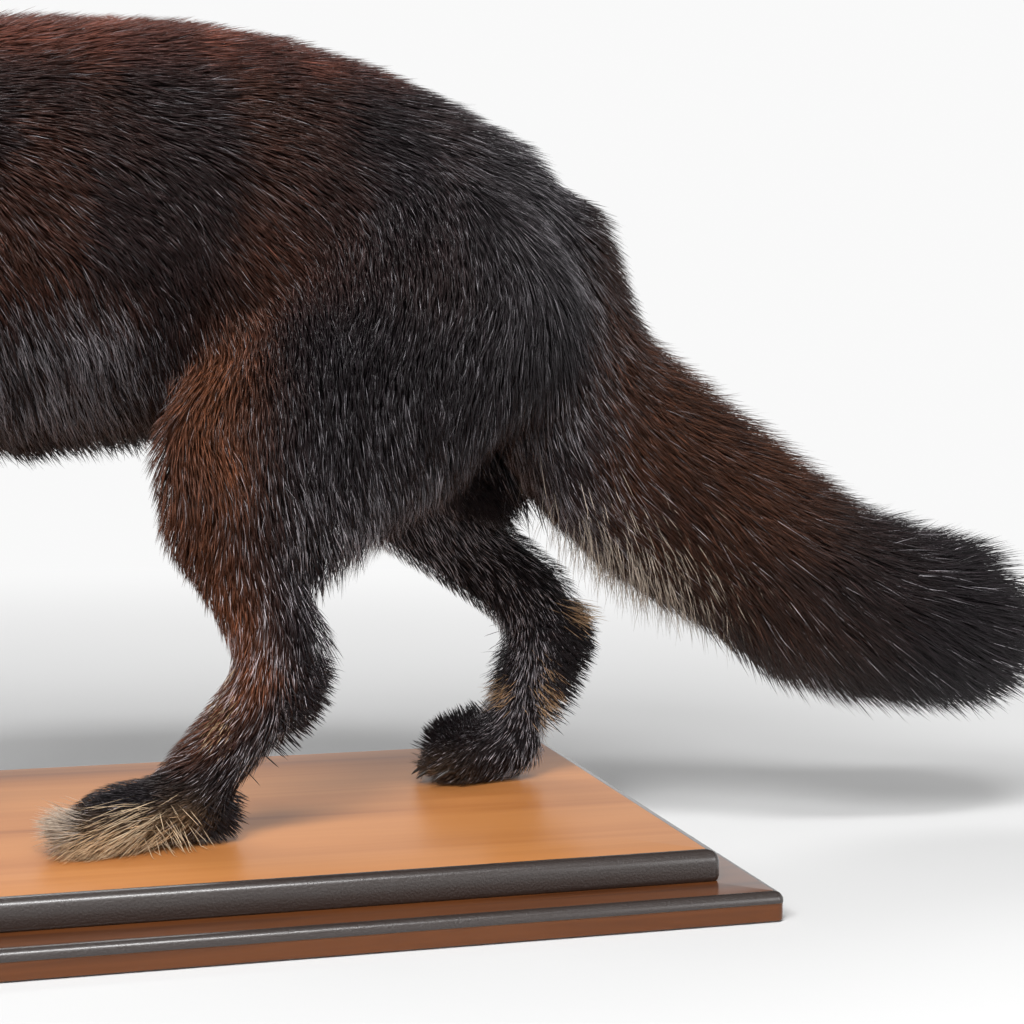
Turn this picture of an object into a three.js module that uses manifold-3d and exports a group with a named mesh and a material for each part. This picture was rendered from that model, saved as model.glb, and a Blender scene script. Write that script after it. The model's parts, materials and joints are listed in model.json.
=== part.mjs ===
// A life-size mounted fox, walking, on its two-tier wooden base.
// Millimetres, +Z up. The origin is the centre of the base's underside; the fox faces -X, so +Y is its right.
import * as THREE from "three";
import { ParametricGeometry } from "three/addons/geometries/ParametricGeometry.js";
import { mergeVertices } from "three/addons/utils/BufferGeometryUtils.js";
import Module from "manifold-3d";

const wasm = await Module();
wasm.setup();

// ---- Driving dimensions --------------------------------------------------------------------------------

const GAP = 0.3; // clearance between neighbouring solids
const SMOOTHING = 0.12; // triangles that lie this close to one surface are merged
const LATERAL = new THREE.Vector3(0, 1, 0);

const LEDGE = { ends: 21, sides: 25.5 }; // how far the lower board stands out round the upper one
const UPPER_BOARD = { length: 673, depth: 282, thickness: 14.2, edge: 4, corner: 4 };
const LOWER_BOARD = {
  length: UPPER_BOARD.length + 2 * LEDGE.ends,
  depth: UPPER_BOARD.depth + 2 * LEDGE.sides,
  thickness: 13.1,
  edge: 4,
  corner: 4,
};
const DECK = LOWER_BOARD.thickness + UPPER_BOARD.thickness; // height of the face the paws stand on

const HEAD_AT = [-222, 0, 407]; // back of the skull, above the deck
const HEAD_PITCH = 13; // degrees that the muzzle points below level
const EYE_DIAMETER = 16.5;
const EAR = { height: 97, halfWidth: 29, wall: 7, cup: 18, turn: 28, lean: 15 };
const MOUTH = { corner: -92, height: -22, slope: -0.06 };

const COLOURS = {
  coat: 0x2b1b17,
  back: 0x3a211a,
  legs: 0x151416,
  nose: 0x0b0a0b,
  eye: 0x7a4a16,
  ebonised: 0x221c1a,
  varnish: 0xb46f3f,
};

// ---- From geometry to solids ---------------------------------------------------------------------------

// A closed geometry as a manifold solid: seams and poles are merged and the collapsed triangles dropped.
function solid(geometry) {
  const bare = geometry.clone();
  bare.deleteAttribute("normal");
  bare.deleteAttribute("uv");
  const merged = mergeVertices(bare, 1e-3);
  const corners = merged.index.array;
  const kept = [];
  for (let i = 0; i < corners.length; i += 3) {
    const [a, b, c] = corners.slice(i, i + 3);
    if (a !== b && b !== c && c !== a) kept.push(a, b, c);
  }
  const vertProperties = new Float32Array(merged.attributes.position.array);
  const wrap = (triVerts) => new wasm.Manifold(new wasm.Mesh({ numProp: 3, vertProperties, triVerts }));
  const made = wrap(new Uint32Array(kept));
  return made.volume() > 0 ? made : wrap(new Uint32Array(kept).reverse());
}

const union = (solids) => solids.reduce((all, one) => all.add(one));

// The largest connected piece, which leaves out the slivers that a cut may shave off.
function largest(body) {
  return body.decompose().reduce((best, piece) => (piece.volume() > best.volume() ? piece : best));
}

// Everything on the side of a plane that its normal points to, starting `offset` past the plane.
function beyond(point, normal, offset) {
  const reach = 1600;
  const along = new THREE.Vector3(...normal).normalize();
  const centre = new THREE.Vector3(...point).addScaledVector(along, reach / 2 + offset);
  const turn = new THREE.Quaternion().setFromUnitVectors(new THREE.Vector3(0, 0, 1), along);
  const place = new THREE.Matrix4().compose(centre, turn, new THREE.Vector3(1, 1, 1));
  return solid(new THREE.BoxGeometry(reach, reach, reach).applyMatrix4(place));
}

// A body swept along a smooth curve, with rounded ends. Each station is [x, y, z, deep, wide, egg]: a centre,
// the half-thickness in the plane of the curve and across it, and how much wider the underside is than the top.
function loft(stations, { rings, sides, caps = [0.12, 0.12], grow = 0 }) {
  const centres = stations.map(([x, y, z]) => new THREE.Vector3(x, y, z));
  const lengthen = (end, next) => end.addScaledVector(end.clone().sub(next).normalize(), grow);
  lengthen(centres[0], centres[1]);
  lengthen(centres.at(-1), centres.at(-2));
  const path = new THREE.CatmullRomCurve3(centres);
  const sizes = stations.map(([, , , deep, wide, egg = 0]) => new THREE.Vector3(deep, wide, egg));
  const sizeAt = new THREE.CatmullRomCurve3(sizes, false, "catmullrom", 0.4);
  const parameter = parameterAlong(path, stations.length);
  const roundEnd = (t, cap) => (t < cap ? Math.sqrt(Math.max(0, 1 - (1 - t / cap) ** 2)) : 1);
  const ring = (u, v, target) => {
    // Rings crowd towards the two ends, where the body rounds off.
    const t = u - 0.08 * Math.sin(2 * Math.PI * u);
    const s = parameter(t);
    const outward = new THREE.Vector3().crossVectors(path.getTangent(s), LATERAL).normalize();
    const size = sizeAt.getPoint(s);
    const round = roundEnd(t, caps[0]) * roundEnd(1 - t, caps[1]);
    const up = Math.cos(2 * Math.PI * v);
    const side = Math.sin(2 * Math.PI * v);
    const topward = outward.z < 0 ? -up : up;
    const wide = (size.y + grow) * round * (1 - size.z * topward);
    target.copy(path.getPoint(s));
    target.addScaledVector(outward, up * (size.x + grow) * round).addScaledVector(LATERAL, side * wide);
  };
  return solid(new ParametricGeometry(ring, rings, sides));
}

// The curve parameter at a fraction of a curve's length, so that evenly spaced rings are evenly spaced.
function parameterAlong(path, count) {
  path.arcLengthDivisions = 20 * count;
  return (fraction) => path.getUtoTmapping(THREE.MathUtils.clamp(fraction, 0, 1));
}

// An ellipsoid with half-sizes `size`, turned by `spin` degrees about Y.
function ellipsoid(at, size, { spin = 0, detail = [14, 10], grow = 0 } = {}) {
  const geometry = new THREE.SphereGeometry(1, ...detail);
  geometry.rotateX(Math.PI / 2).scale(...size.map((half) => half + grow));
  return solid(geometry.rotateY(THREE.MathUtils.degToRad(spin)).translate(...at));
}

const raise = ([x, y, z, ...sizes]) => [x, y, z + DECK, ...sizes];

// ---- Trunk, neck and tail ------------------------------------------------------------------------------
// Heights are above the deck. The belly hangs in a fringe of long hair, which the sections take in.

const NECK = [
  [-262, 0, 407, 40, 44],
  [-236, 0, 400, 47, 50],
  [-204, 0, 376, 60, 57, 0.06],
  [-165, 0, 345, 75, 63, 0.06],
  [-120, 0, 312, 83, 66, 0.04],
  [-78, 0, 294, 76, 60],
].map(raise);

const TRUNK = [
  [-152, 0, 306, 66, 54],
  [-112, 0, 296, 87, 66, 0.05],
  [-50, 0, 284, 96, 72, -0.04],
  [25, 0, 283, 103, 75, -0.1],
  [100, 0, 288, 100, 74, -0.1],
  [165, 0, 285, 94, 69],
  [222, 0, 276, 81, 62, 0.04],
  [270, 0, 259, 72, 54],
  [319, 0, 255, 59, 42],
].map(raise);

const TAIL = [
  [267, 0, 317, 36, 31],
  [283, 0, 273, 51, 42],
  [304, 0, 219, 53, 48],
  [340, 0, 179, 59, 53],
  [386, 0, 139, 60, 55],
  [431, 0, 110, 57, 55],
  [480, 0, 92, 54, 53],
  [527, 0, 85, 50, 47],
  [563, 0, 89, 42, 40],
].map(raise);

const BREAST_CUT = { at: [-124, 0, 300 + DECK], normal: [-0.86, 0, 0.52] }; // where neck and trunk are parted

const spine = (grow) => {
  const neck = loft(NECK, { rings: 9, sides: 15, caps: [0.16, 0.3], grow });
  const trunk = loft(TRUNK, { rings: 17, sides: 15, caps: [0.12, 0.1], grow });
  return neck.add(trunk);
};

// ---- Legs ----------------------------------------------------------------------------------------------
// Left is the near side (-Y). The left hind and right fore legs reach forward, the other two trail. Each leg is
// given by its joints; the thickness at each joint, [deep, wide], is the same left and right.

const LEGS = {
  hind_left: {
    parts: ["thigh_left", "shank_left", "hindfoot_left", "hindpaw_left"],
    joints: [[250, -40, 286], [119, -59, 164], [152, -60, 84], [103, -58, 26]],
    paw: { toe: 43, heel: 127, y: -58, high: 35 },
  },
  hind_right: {
    parts: ["thigh_right", "shank_right", "hindfoot_right", "hindpaw_right"],
    joints: [[256, 40, 286], [222, 47, 160], [309, 46, 90], [286, 44, 26]],
    paw: { toe: 235, heel: 305, y: 44, high: 38 },
  },
  fore_left: {
    parts: ["upper_arm_left", "forearm_left", "forefoot_left", "forepaw_left"],
    joints: [[-138, -42, 282], [-84, -48, 184], [-66, -45, 72], [-78, -44, 22]],
    paw: { toe: -120, heel: -50, y: -44, high: 35 },
  },
  fore_right: {
    parts: ["upper_arm_right", "forearm_right", "forefoot_right", "forepaw_right"],
    joints: [[-139, 41, 282], [-112, 48, 186], [-170, 45, 72], [-192, 44, 22]],
    paw: { toe: -236, heel: -164, y: 44, high: 35 },
  },
};

// Each part's thickness at its two ends, how far it bulges between them, and how far it bows to the rear.
const HIND = [
  { from: [66, 36], to: [52, 30], bulge: 0.1, bow: 9 },
  { from: [38, 27], to: [26, 20], bulge: -0.14, bow: -1 },
  { from: [25, 20], to: [19, 19], bulge: -0.06, bow: 2 },
];
const FORE = [
  { from: [45, 28], to: [31, 22], bulge: 0.05, bow: -4 },
  { from: [29, 21], to: [17.5, 16.5], bulge: -0.1, bow: 0 },
  { from: [17.5, 16.5], to: [16, 18], bulge: 0, bow: 0 },
];
const PAW = { halfWidth: 23, toes: 4, toeRadius: 8.5, claw: { length: 13, radius: 2.6 } };

const isHind = (leg) => leg.parts[0].startsWith("thigh");

// One part of a leg, between two of its joints.
function limb(leg, index, grow) {
  const form = (isHind(leg) ? HIND : FORE)[index];
  const [start, end] = [leg.joints[index], leg.joints[index + 1]].map((joint) => new THREE.Vector3(...joint));
  const along = end.clone().sub(start);
  const rearward = new THREE.Vector3(-along.z, 0, along.x).normalize();
  const stations = [-0.16, 0.16, 0.5, 0.84, 1.16].map((t) => {
    const inside = THREE.MathUtils.clamp(t, 0, 1);
    const middle = 4 * inside * (1 - inside);
    const centre = start.clone().addScaledVector(along, t).addScaledVector(rearward, form.bow * middle);
    const size = [0, 1].map((k) => THREE.MathUtils.lerp(form.from[k], form.to[k], t) * (1 + form.bulge * middle));
    return [centre.x, centre.y, centre.z + DECK, ...size];
  });
  return loft(stations, { rings: index === 0 ? 10 : 8, sides: 10, caps: [0.22, 0.18], grow });
}

// A paw with four toes and their claws, cut flat where it stands on the deck.
function paw(leg, grow) {
  const { toe, heel, y, high } = leg.paw;
  const length = heel - toe;
  const pad = loft(
    [
      [heel + 3, y, 12, 10, 12],
      [heel - 0.2 * length, y, high * 0.45, high * 0.5, PAW.halfWidth * 0.82],
      [heel - 0.5 * length, y, high * 0.42, high * 0.52, PAW.halfWidth],
      [toe + 0.24 * length, y, high * 0.32, high * 0.46, PAW.halfWidth * 0.98],
      [toe + 3, y, 9, 9, PAW.halfWidth * 0.7],
    ].map(raise),
    { rings: 6, sides: 9, caps: [0.2, 0.2], grow },
  );
  const toes = [];
  for (let i = 0; i < PAW.toes; i += 1) {
    const across = (i - (PAW.toes - 1) / 2) / ((PAW.toes - 1) / 2);
    const reach = toe + PAW.toeRadius + 2 + 6 * across ** 2;
    const at = [reach + 6, y + across * 16.5, 10.5 + DECK];
    toes.push(ellipsoid(at, [15, PAW.toeRadius, 10.5], { detail: [6, 5], grow }));
    const claw = new THREE.ConeGeometry(PAW.claw.radius + grow, PAW.claw.length, 4);
    claw.rotateZ(Math.PI / 2 + 0.25).translate(reach - 12, y + across * 17.5, 6.5 + DECK);
    toes.push(solid(claw));
  }
  return union([pad, ...toes]).intersect(beyond([0, 0, DECK + GAP / 10], [0, 0, 1], 0));
}

// ---- Head ----------------------------------------------------------------------------------------------
// Drawn level, with its origin at the back of the skull and the nose along -X, and then pitched.

const SKULL = [
  [8, 0, -8, 34, 40],
  [-12, 0, -5, 48, 54, 0.06],
  [-36, 0, -3, 46, 58, 0.12],
  [-62, 0, -1, 38, 45, 0.1],
  [-84, 0, -4, 31, 32, 0.08],
  [-106, 0, -8.5, 23, 23, 0.1],
  [-130, 0, -10.5, 18.5, 18.5, 0.08],
  [-150, 0, -10.5, 15.8, 16],
  [-162, 0, -10, 12.8, 13],
];
const CHEEK = { at: [-32, 44, -17], size: [30, 20, 25] };
const BROW = { at: [-70, 18, 19], size: [20, 13, 9] };
const EYE_AT = [-80, 24.5, 9];
const CHIN = { at: [-161, 0, -14], slope: 0.8 }; // the muzzle slopes back from under the nose to the chin
const NOSE = { at: [-157, 0, -4.5], size: [8, 9.5, 7.5] };
const EAR_AT = [-25, 33, 15];

const headPlace = new THREE.Matrix4()
  .makeTranslation(HEAD_AT[0], HEAD_AT[1], HEAD_AT[2] + DECK)
  .multiply(new THREE.Matrix4().makeRotationY(THREE.MathUtils.degToRad(-HEAD_PITCH)));
const placed = (body) => body.transform([...headPlace.elements]);
const mirrored = ([x, y, z], side) => [x, side * y, z];

function headMass(grow) {
  const skull = loft(SKULL, { rings: 14, sides: 14, caps: [0.12, 0.06], grow });
  const fleshOut = [-1, 1].flatMap((side) => [
    ellipsoid(mirrored(CHEEK.at, side), CHEEK.size, { spin: -18, detail: [10, 7], grow }),
    ellipsoid(mirrored(BROW.at, side), BROW.size, { spin: 24, detail: [8, 5], grow }),
  ]);
  const front = beyond(CHIN.at, [-1, 0, -CHIN.slope], grow);
  return placed(union([skull, ...fleshOut]).subtract(front));
}

// The lower jaw lies below the line of the mouth and in front of the corner of the lips.
function belowMouth(offset) {
  const at = [MOUTH.corner, 0, MOUTH.height];
  const below = beyond(at, [MOUTH.slope, 0, -1], offset);
  return placed(below.intersect(beyond(at, [-1, 0, -0.4], offset)));
}

const eye = (side, grow) => {
  const half = EYE_DIAMETER / 2;
  return placed(ellipsoid(mirrored(EYE_AT, side), [half, half, half], { detail: [12, 8], grow }));
};

const nose = (grow) => placed(ellipsoid(NOSE.at, NOSE.size, { spin: 14, detail: [10, 6], grow }));

// A pointed ear: a crescent-shaped shell, hollow to the front and outwards, narrowing to its tip.
function ear(side) {
  const shell = (u, v, target) => {
    const ends = Math.sqrt(Math.min(1, u / 0.08)) * Math.sqrt(Math.min(1, (1 - u) / 0.06));
    const taper = Math.cos(0.49 * Math.PI * Math.max(0, (u - 0.1) / 0.9)) ** 0.72;
    const isBack = v < 0.5;
    const sweep = 2 * Math.PI * (isBack ? v : 1 - v);
    const width = EAR.halfWidth * taper * (1 - 0.1 * u);
    const wall = isBack ? EAR.wall * (1 - 0.5 * u) : 0;
    const depth = (EAR.cup * taper + wall) * Math.sin(sweep);
    target.set(depth * ends, width * Math.cos(sweep) * ends, EAR.height * u);
  };
  const shape = solid(new ParametricGeometry(shell, 9, 12));
  return placed(shape.rotate([0, 0, -side * EAR.turn]).rotate([-side * EAR.lean, 4, 0]).translate(mirrored(EAR_AT, side)));
}

// ---- Base ----------------------------------------------------------------------------------------------

// A board with rounded corners whose top edge is rounded over.
function board({ length, depth, thickness, edge, corner }, bottom) {
  const [halfLength, halfDepth] = [length / 2 - corner, depth / 2 - corner];
  const outline = (inset) => {
    const points = [];
    for (const [sx, sy, turn] of [[1, 1, 0], [-1, 1, 1], [-1, -1, 2], [1, -1, 3]]) {
      for (let i = 0; i <= 3; i += 1) {
        const angle = (Math.PI / 2) * (turn + i / 3);
        const radius = corner - inset * 0.999;
        points.push([sx * halfLength + radius * Math.cos(angle), sy * halfDepth + radius * Math.sin(angle)]);
      }
    }
    return points;
  };
  const levels = [[0, 0]];
  const steps = 4;
  for (let i = 0; i <= steps; i += 1) {
    const angle = (Math.PI / 2) * (i / steps);
    levels.push([edge * (1 - Math.cos(angle)), thickness - edge + edge * Math.sin(angle)]);
  }
  const positions = [];
  const index = [];
  for (const [inset, height] of levels) {
    for (const [x, y] of outline(inset)) positions.push(x, y, bottom + height);
  }
  const count = 16;
  for (let ring = 0; ring + 1 < levels.length; ring += 1) {
    for (let i = 0; i < count; i += 1) {
      const [a, b] = [ring * count + i, ring * count + ((i + 1) % count)];
      index.push(a, b, b + count, a, b + count, a + count);
    }
  }
  const top = (levels.length - 1) * count;
  for (let i = 1; i + 1 < count; i += 1) {
    index.push(0, i + 1, i);
    index.push(top, top + i, top + i + 1);
  }
  const geometry = new THREE.BufferGeometry();
  geometry.setAttribute("position", new THREE.Float32BufferAttribute(positions, 3));
  geometry.setIndex(index);
  return solid(geometry);
}

// ---- The parts, each cut clear of the ones named before it ---------------------------------------------

const parts = [];
const add = (name, colour, make) => parts.push({ name, colour, make });

add("nose", COLOURS.nose, nose);
add("eye_left", COLOURS.eye, (grow) => eye(-1, grow));
add("eye_right", COLOURS.eye, (grow) => eye(1, grow));
add("jaw", COLOURS.coat, (grow) => headMass(grow).intersect(belowMouth(GAP / 2 - grow)));
add("head", COLOURS.coat, headMass);
add("ear_left", COLOURS.coat, () => ear(-1));
add("ear_right", COLOURS.coat, () => ear(1));
for (const leg of Object.values(LEGS)) {
  add(leg.parts[3], COLOURS.legs, (grow) => paw(leg, grow));
  add(leg.parts[2], COLOURS.legs, (grow) => limb(leg, 2, grow));
  add(leg.parts[1], COLOURS.legs, (grow) => limb(leg, 1, grow));
  add(leg.parts[0], COLOURS.coat, (grow) => limb(leg, 0, grow));
}
add("tail", COLOURS.back, (grow) => loft(TAIL, { rings: 20, sides: 16, caps: [0.08, 0.12], grow }));
const sidesOfBreast = (side) => beyond(BREAST_CUT.at, BREAST_CUT.normal.map((n) => side * n), GAP / 2);
add("neck", COLOURS.coat, (grow) => spine(grow).intersect(sidesOfBreast(1)));
add("trunk", COLOURS.back, (grow) => spine(grow).intersect(sidesOfBreast(-1)));
add("base_upper_board", COLOURS.varnish, () => board(UPPER_BOARD, LOWER_BOARD.thickness));
add("base_lower_board", COLOURS.ebonised, () => board(LOWER_BOARD, 0));

const group = new THREE.Group();
const cutters = [];
for (const { name, colour, make } of parts) {
  const isBoard = name.startsWith("base_");
  let body = make(0);
  const bounds = body.boundingBox();
  if (!isBoard) {
    for (const cutter of cutters) {
      if (touches(cutter.boundingBox(), bounds)) body = body.subtract(cutter);
    }
    cutters.push(make(GAP));
  }
  group.add(meshOf(name, largest(body).simplify(SMOOTHING), colour));
}

function touches(a, b) {
  return [0, 1, 2].every((k) => a.min[k] < b.max[k] && b.min[k] < a.max[k]);
}

function meshOf(name, body, colour) {
  const { vertProperties, triVerts, numProp } = body.getMesh();
  const positions = new Float32Array((vertProperties.length / numProp) * 3);
  for (let i = 0; i * numProp < vertProperties.length; i += 1) {
    for (let k = 0; k < 3; k += 1) positions[3 * i + k] = vertProperties[numProp * i + k];
  }
  const geometry = new THREE.BufferGeometry();
  geometry.setAttribute("position", new THREE.BufferAttribute(positions, 3));
  geometry.setIndex(new THREE.BufferAttribute(new Uint32Array(triVerts), 1));
  geometry.computeVertexNormals();
  const mesh = new THREE.Mesh(geometry, new THREE.MeshStandardMaterial({ color: colour, roughness: 0.7 }));
  mesh.name = name;
  return mesh;
}

export default group;
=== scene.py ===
"""Looks of the mounted fox: one skin, its fur, the eyes, nose, claws and whiskers, and the two-tier base.

Lengths named in this script are in millimetres and turned into metres where meshes are made.
"""

import json
import math

import bmesh
import bpy
import numpy as np
from mathutils import Matrix, Vector
from mathutils.bvhtree import BVHTree

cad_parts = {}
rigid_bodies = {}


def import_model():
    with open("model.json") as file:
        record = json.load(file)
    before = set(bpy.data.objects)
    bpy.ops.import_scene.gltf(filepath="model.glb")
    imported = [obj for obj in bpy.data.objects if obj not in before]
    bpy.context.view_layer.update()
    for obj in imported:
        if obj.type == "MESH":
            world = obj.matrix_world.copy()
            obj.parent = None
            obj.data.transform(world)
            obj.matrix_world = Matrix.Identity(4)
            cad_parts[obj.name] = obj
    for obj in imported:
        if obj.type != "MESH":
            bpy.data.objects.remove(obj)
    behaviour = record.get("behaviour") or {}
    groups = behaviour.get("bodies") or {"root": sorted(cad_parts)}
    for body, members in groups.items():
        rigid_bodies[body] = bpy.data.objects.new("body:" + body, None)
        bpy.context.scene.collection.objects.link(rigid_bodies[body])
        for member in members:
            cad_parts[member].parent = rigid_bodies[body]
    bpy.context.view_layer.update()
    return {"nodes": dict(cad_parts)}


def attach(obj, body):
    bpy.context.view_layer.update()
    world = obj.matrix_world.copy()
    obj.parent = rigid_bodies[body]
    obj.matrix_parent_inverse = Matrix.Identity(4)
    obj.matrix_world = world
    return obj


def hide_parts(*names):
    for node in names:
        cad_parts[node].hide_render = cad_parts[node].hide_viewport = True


MM = 0.001
DECK = 27.3  # height of the face the paws stand on
UPPER = {"length": 673.0, "depth": 282.0, "low": 13.1, "high": DECK, "edge": 5.6}
LOWER = {"length": 715.0, "depth": 333.0, "low": 0.0, "high": 13.1, "edge": 4.2}

# ---- The fox's frame ------------------------------------------------------------------------------------

# The head has a frame of its own, pitched down by HEAD_PITCH degrees. Its eyes and nose are placed in it.
HEAD_AT = (-222.0, 0.0, 407.0 + DECK)
HEAD_PITCH = 13.0
EYE_AT = (-80.0, 24.5, 9.0)
EYE_RADIUS = 8.2
NOSE_AT = (-157.0, 0.0, -4.5)
NOSE_SIZE = (8.0, 9.5, 7.5)

SIDES = {"left": -1.0, "right": 1.0}

# Lines through the body: (x, z) along its back and tail, and (x, y, height over the deck) down each leg.
SPINE = [(-330, 420), (-236, 428), (-165, 374), (-84, 324), (25, 312), (110, 316), (222, 306), (285, 285)]
TAIL = [(283, 300), (304, 246), (340, 206), (386, 166), (431, 137), (480, 119), (527, 112), (563, 116)]
LEG_JOINTS = {
    "hind_left": [(250, -40, 286), (119, -59, 164), (152, -60, 84), (103, -58, 26), (45, -58, 8)],
    "hind_right": [(256, 40, 286), (222, 47, 160), (309, 46, 90), (286, 44, 26), (237, 44, 8)],
    "fore_left": [(-138, -42, 282), (-84, -48, 184), (-66, -45, 72), (-78, -44, 22), (-118, -44, 8)],
    "fore_right": [(-139, 41, 282), (-112, 48, 186), (-170, 45, 72), (-192, 44, 22), (-234, 44, 8)],
}
# Where the claws of each paw reach to along x, before they curve.
CLAW_TIPS = {"hind_left": 43.0, "hind_right": 235.0, "fore_left": -120.0, "fore_right": -236.0}
PARTS = {
    "hind": ["thigh", "shank", "hindfoot", "hindpaw"],
    "fore": ["upper_arm", "forearm", "forefoot", "forepaw"],
}

# How the coat grows on each part: how deep it stands off the skin, how long its hair is, how wide a tuft is,
# and how many tufts stand on a square centimetre of skin.
COAT = {
    "head": (3.4, 9.0, 0.42, 78),
    "jaw": (3.0, 7.5, 0.40, 78),
    "ear": (1.1, 4.5, 0.36, 66),
    "neck": (11.0, 29.0, 0.72, 44),
    "trunk": (9.5, 26.0, 0.66, 50),
    "tail": (29.0, 50.0, 0.80, 82),
    "thigh": (8.0, 23.0, 0.62, 50),
    "shank": (6.0, 18.0, 0.58, 52),
    "hindfoot": (4.5, 14.0, 0.55, 54),
    "hindpaw": (3.2, 9.5, 0.52, 60),
    "upper_arm": (8.0, 23.0, 0.66, 46),
    "forearm": (4.5, 14.0, 0.56, 48),
    "forefoot": (3.6, 11.0, 0.54, 50),
    "forepaw": (3.2, 9.5, 0.52, 60),
}
FLESH = ["head", "jaw", "neck", "trunk", "tail", "ear_left", "ear_right"]
FLESH += [f"{part}_{side}" for parts in PARTS.values() for part in parts for side in SIDES]
ORGANS = ["eye_left", "eye_right", "nose"]  # filled over in the skin, then opened or covered again

HEAD_KINDS = ["head", "jaw"]

# How far each solid is swollen before the skin is fused, so that cuts close and thin parts hold together.
SWELL = {"ear": 1.9, "nose": -1.0}
SWELL_ELSEWHERE = 0.45
VOXEL = 3.5

# How far the skin's vertices move towards their neighbours in one round of smoothing.
EASE = {"head": 0.25, "jaw": 0.25, "hindpaw": 0.25, "forepaw": 0.25, "ear": 0.7}
EASE_ELSEWHERE = 0.8
FLOW_BLEND = 14.0  # the lie of the coat turns over about this length where a limb bends
SKIN_CLEARANCE = 0.6  # least height of the skin over the deck
HAIR_CLEARANCE = 0.3  # and of the hair
SOLE_HEIGHT = 2.0  # below this height over the deck no hair grows
TAIL_FILLS_OUT = (285.0, 385.0)  # between these places along the body the coat swells from rump to brush
ROOT_DEPTH = 0.6  # how far under the skin a tuft starts
PATCH = 0.003  # size of a tuft's patch on its OFBake map
UV_MARGIN = 0.015  # free border round each strip of that map
UV_EDGE = 0.004  # and least distance of a root from the map's edge
RNG = np.random.default_rng(20240)
HASH_PRIMES = np.array([73856093, 19349663, 83492791])
HASH_MASK = 0x7FFFFFFF


def lerp(a, b, t):
    return a + (b - a) * t


def smooth_step(low, high, x):
    t = np.clip((x - low) / (high - low), 0.0, 1.0)
    return t * t * (3.0 - 2.0 * t)


def unit(vectors):
    return vectors / np.maximum(np.linalg.norm(vectors, axis=-1, keepdims=True), 1e-9)


def noise(points, size, seed):
    """Smooth random values in 0..1 at points, varying over about `size` millimetres."""
    p = points / size + seed * 17.31
    cell = np.floor(p).astype(np.int64)
    f = p - cell
    f = f * f * (3.0 - 2.0 * f)
    total = np.zeros(len(points))
    for corner in np.ndindex(2, 2, 2):
        a, b, c = ((cell + corner) * HASH_PRIMES).T
        h = (a ^ b ^ c ^ (seed * 2654435761)) & HASH_MASK
        h = (h * 1103515245 + 12345) & HASH_MASK
        h = (h ^ (h >> 13)) * 1274126177 & HASH_MASK
        wx, wy, wz = np.where(corner, f, 1.0 - f).T
        total += (h % 65536) / 65535.0 * wx * wy * wz
    return total


def head_matrix():
    turn = Matrix.Rotation(math.radians(-HEAD_PITCH), 4, "Y")
    return np.array(Matrix.Translation(HEAD_AT) @ turn)


HEAD_TO_MODEL = head_matrix()
MODEL_TO_HEAD = np.linalg.inv(HEAD_TO_MODEL)


def to_head(points):
    return points @ MODEL_TO_HEAD[:3, :3].T + MODEL_TO_HEAD[:3, 3]


def from_head(points):
    return np.asarray(points) @ HEAD_TO_MODEL[:3, :3].T + HEAD_TO_MODEL[:3, 3]


def eye_centre(side):
    return np.array(EYE_AT) * (1.0, side, 1.0)


def from_eyes(local):
    """How far each point in the head's frame is from the nearer eye's centre."""
    return np.minimum(*[np.linalg.norm(local - eye_centre(side), axis=1) for side in SIDES.values()])


# ---- Mesh helpers ---------------------------------------------------------------------------------------


def places(mesh):
    """Vertices in millimetres."""
    co = np.empty(len(mesh.vertices) * 3, np.float32)
    mesh.vertices.foreach_get("co", co)
    return co.reshape(-1, 3).astype(float) / MM


def arrays_of(mesh):
    """Vertices in millimetres, and triangles."""
    mesh.calc_loop_triangles()
    tris = np.empty(len(mesh.loop_triangles) * 3, np.int32)
    mesh.loop_triangles.foreach_get("vertices", tris)
    return places(mesh), tris.reshape(-1, 3)


def mesh_from(name, verts, faces):
    """A mesh of triangles or quads (an array of indices) from vertices in millimetres."""
    mesh = bpy.data.meshes.new(name)
    corners = faces.shape[1]
    mesh.vertices.add(len(verts))
    mesh.vertices.foreach_set("co", (verts * MM).astype(np.float32).ravel())
    mesh.loops.add(faces.size)
    mesh.loops.foreach_set("vertex_index", faces.astype(np.int32).ravel())
    mesh.polygons.add(len(faces))
    mesh.polygons.foreach_set("loop_start", np.arange(0, faces.size, corners, dtype=np.int32))
    mesh.polygons.foreach_set("use_smooth", np.ones(len(faces), bool))
    mesh.update(calc_edges=True)
    return mesh


def linked(name, data):
    """A new object in the scene."""
    obj = bpy.data.objects.new(name, data)
    bpy.context.scene.collection.objects.link(obj)
    return obj


def piece(name, verts, faces, material, rgb=None):
    """One piece of the fox, on its only body. rgb is a linear colour for each vertex, as coat_colour."""
    mesh = mesh_from(name, verts, faces)
    mesh.materials.append(material)
    if rgb is not None:
        layer = mesh.attributes.new("coat_colour", "FLOAT_COLOR", "POINT")
        rgba = np.ones((len(verts), 4), np.float32)
        rgba[:, :3] = rgb
        layer.data.foreach_set("color", rgba.ravel())
    obj = linked(name, mesh)
    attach(obj, "root")
    return obj


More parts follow.
